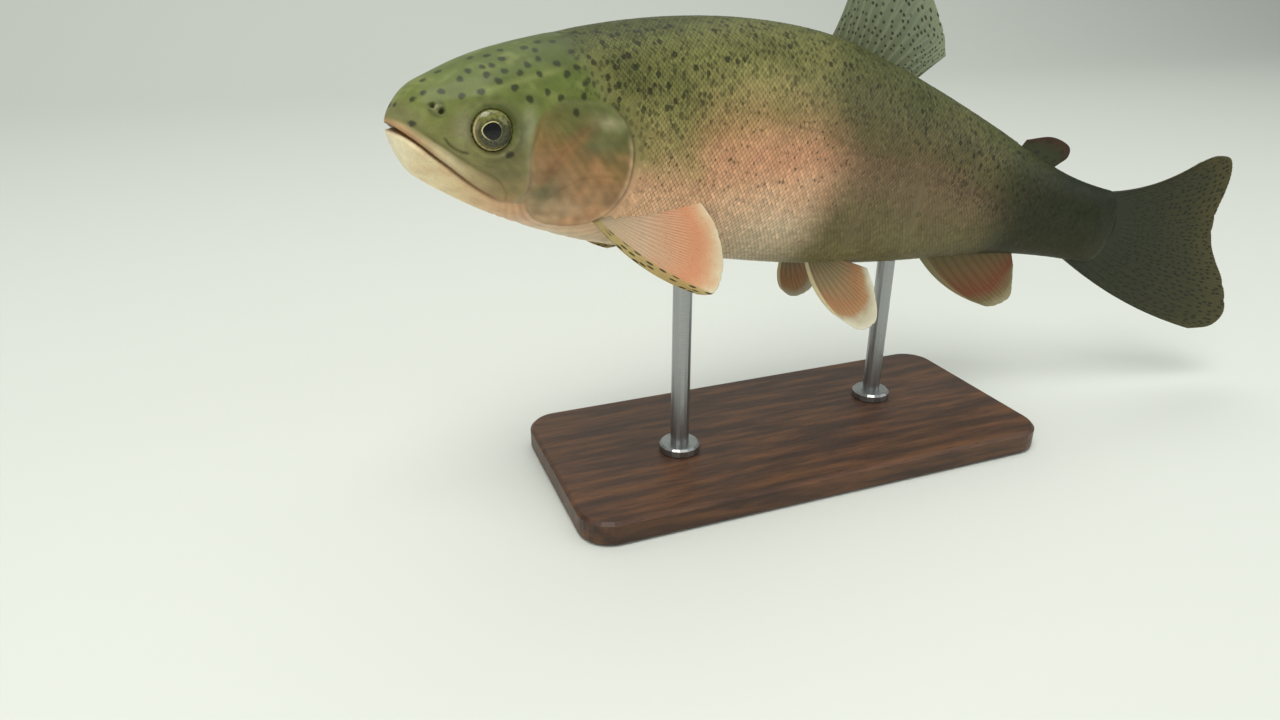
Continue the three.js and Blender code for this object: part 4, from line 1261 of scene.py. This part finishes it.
breast_finish = fin_finish(
    "breast_fin_web", {0.0: "#b3a083", 0.35: "#b6977a", 0.55: "#bd8966", 0.78: "#c67f56", 0.9: "#c99d76",
                       1.0: "#d2c6a4"},
    ray=("#d6c6a8", 0.35), lead=("#a5945c", 0.22, 0.85), spotted=(13, 9, 0.34, 0.05, 0.20, 0.9, 0.1))
# Belly fins: brown to rose webs with pale tips, their own colours darkened by painted shade
belly_finish_with_shade = fin_finish(
    "belly_fin_web", {0.0: "#6f6649", 0.35: "#83704f", 0.62: "#986b47", 0.78: "#a0774f", 0.88: "#b5ac92",
                      1.0: "#d3d0ba"},
    ray=("#bfa883", 0.25), lead=("#cfc39a", 0.07, 0.85))
for word, side in (("left", -1), ("right", 1)):
    paired = {"side": side, "turned": side < 0, "flare": 15, "lean": 20}
    set_fin(
        "fin_breast_" + word, "pectoral_fin_" + word, "warm_fin", breast_finish, **paired,
        root=[(78, -31.5), (82, -28.5), (85, -24)],
        tip=[(121, -56.5), (128.5, -55), (133, -45), (130, -31), (122, -19)],
        bow=[4.2, 2, 0], thick=(2.4, 0.8), rays=19, forks=(0.22, 0.5), grid=(300, 44), wave=1.0, wide=35,
        notch=0.35, stout=0.6, ridge=0.6, foot=(82, 18.2, -30))
    set_fin(
        "fin_belly_" + word, "pelvic_fin_" + word, "warm_fin", belly_finish_with_shade, **paired,
        root=[(204, -43), (210, -42.5), (216, -42)],
        tip=[(222, -69), (237, -74), (247.5, -68.5), (245, -56), (240, -45)],
        bow=[4, 1, 0], thick=(2.2, 0.8), rays=10, forks=(0.3, 0.65), grid=(170, 40), wave=0.8, wide=28, notch=0.4,
        foot=(210, 9, -44))

# ----------------------------------------
# Stand: a flat hardwood base with softened edges, stained dark and oiled, and two bare
# steel rods set in collars, which reach up to the belly.
# ----------------------------------------
wood = Finish("stained_hardwood", Coat_Weight=0.15, Coat_Roughness=0.3, Specular_IOR_Level=0.4)
spot = wood.node("TexCoord", out=3)
figure = wood.noise(wood.vector("MULTIPLY", spot, (1.0, 9.0, 9.0)), 0.05, 4.0, 0.6)
pore = wood.noise(wood.vector("MULTIPLY", spot, (1.0, 14.0, 14.0)), 0.012, 3.0, 0.7)
stain = wood.node(
    "ValToRGB", {0: figure}, stops={0.25: "#2b1a10", 0.45: "#3f2717", 0.55: "#51331d", 0.75: "#6a4426"})
stain = wood.mix(stain, "#160d08", wood.ease(pore, 0.55, 0.72) * 0.7)
wood.feed(Base_Color=stain, Roughness=0.38 + pore * 0.2)
wood.bump(pore, 0.0002, 0.4)
steel = Finish("brushed_steel", Metallic=1.0)
spot = steel.node("TexCoord", out=3)
brush = steel.noise(steel.vector("MULTIPLY", spot, (1.0, 1.0, 30.0)), 0.004, 3.0, 0.6)
steel.feed(Base_Color=steel.mix("#8f9191", "#b4b6b6", brush), Roughness=0.26 + brush * 0.18)
steel.bump(brush, 0.00005, 0.3)
for node, finish in (("stand_base", wood), ("stand_rod_front", steel), ("stand_rod_rear", steel)):
    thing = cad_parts[node]
    if thing.material_slots:
        thing.material_slots[0].material = finish.material
    else:
        thing.data.materials.append(finish.material)
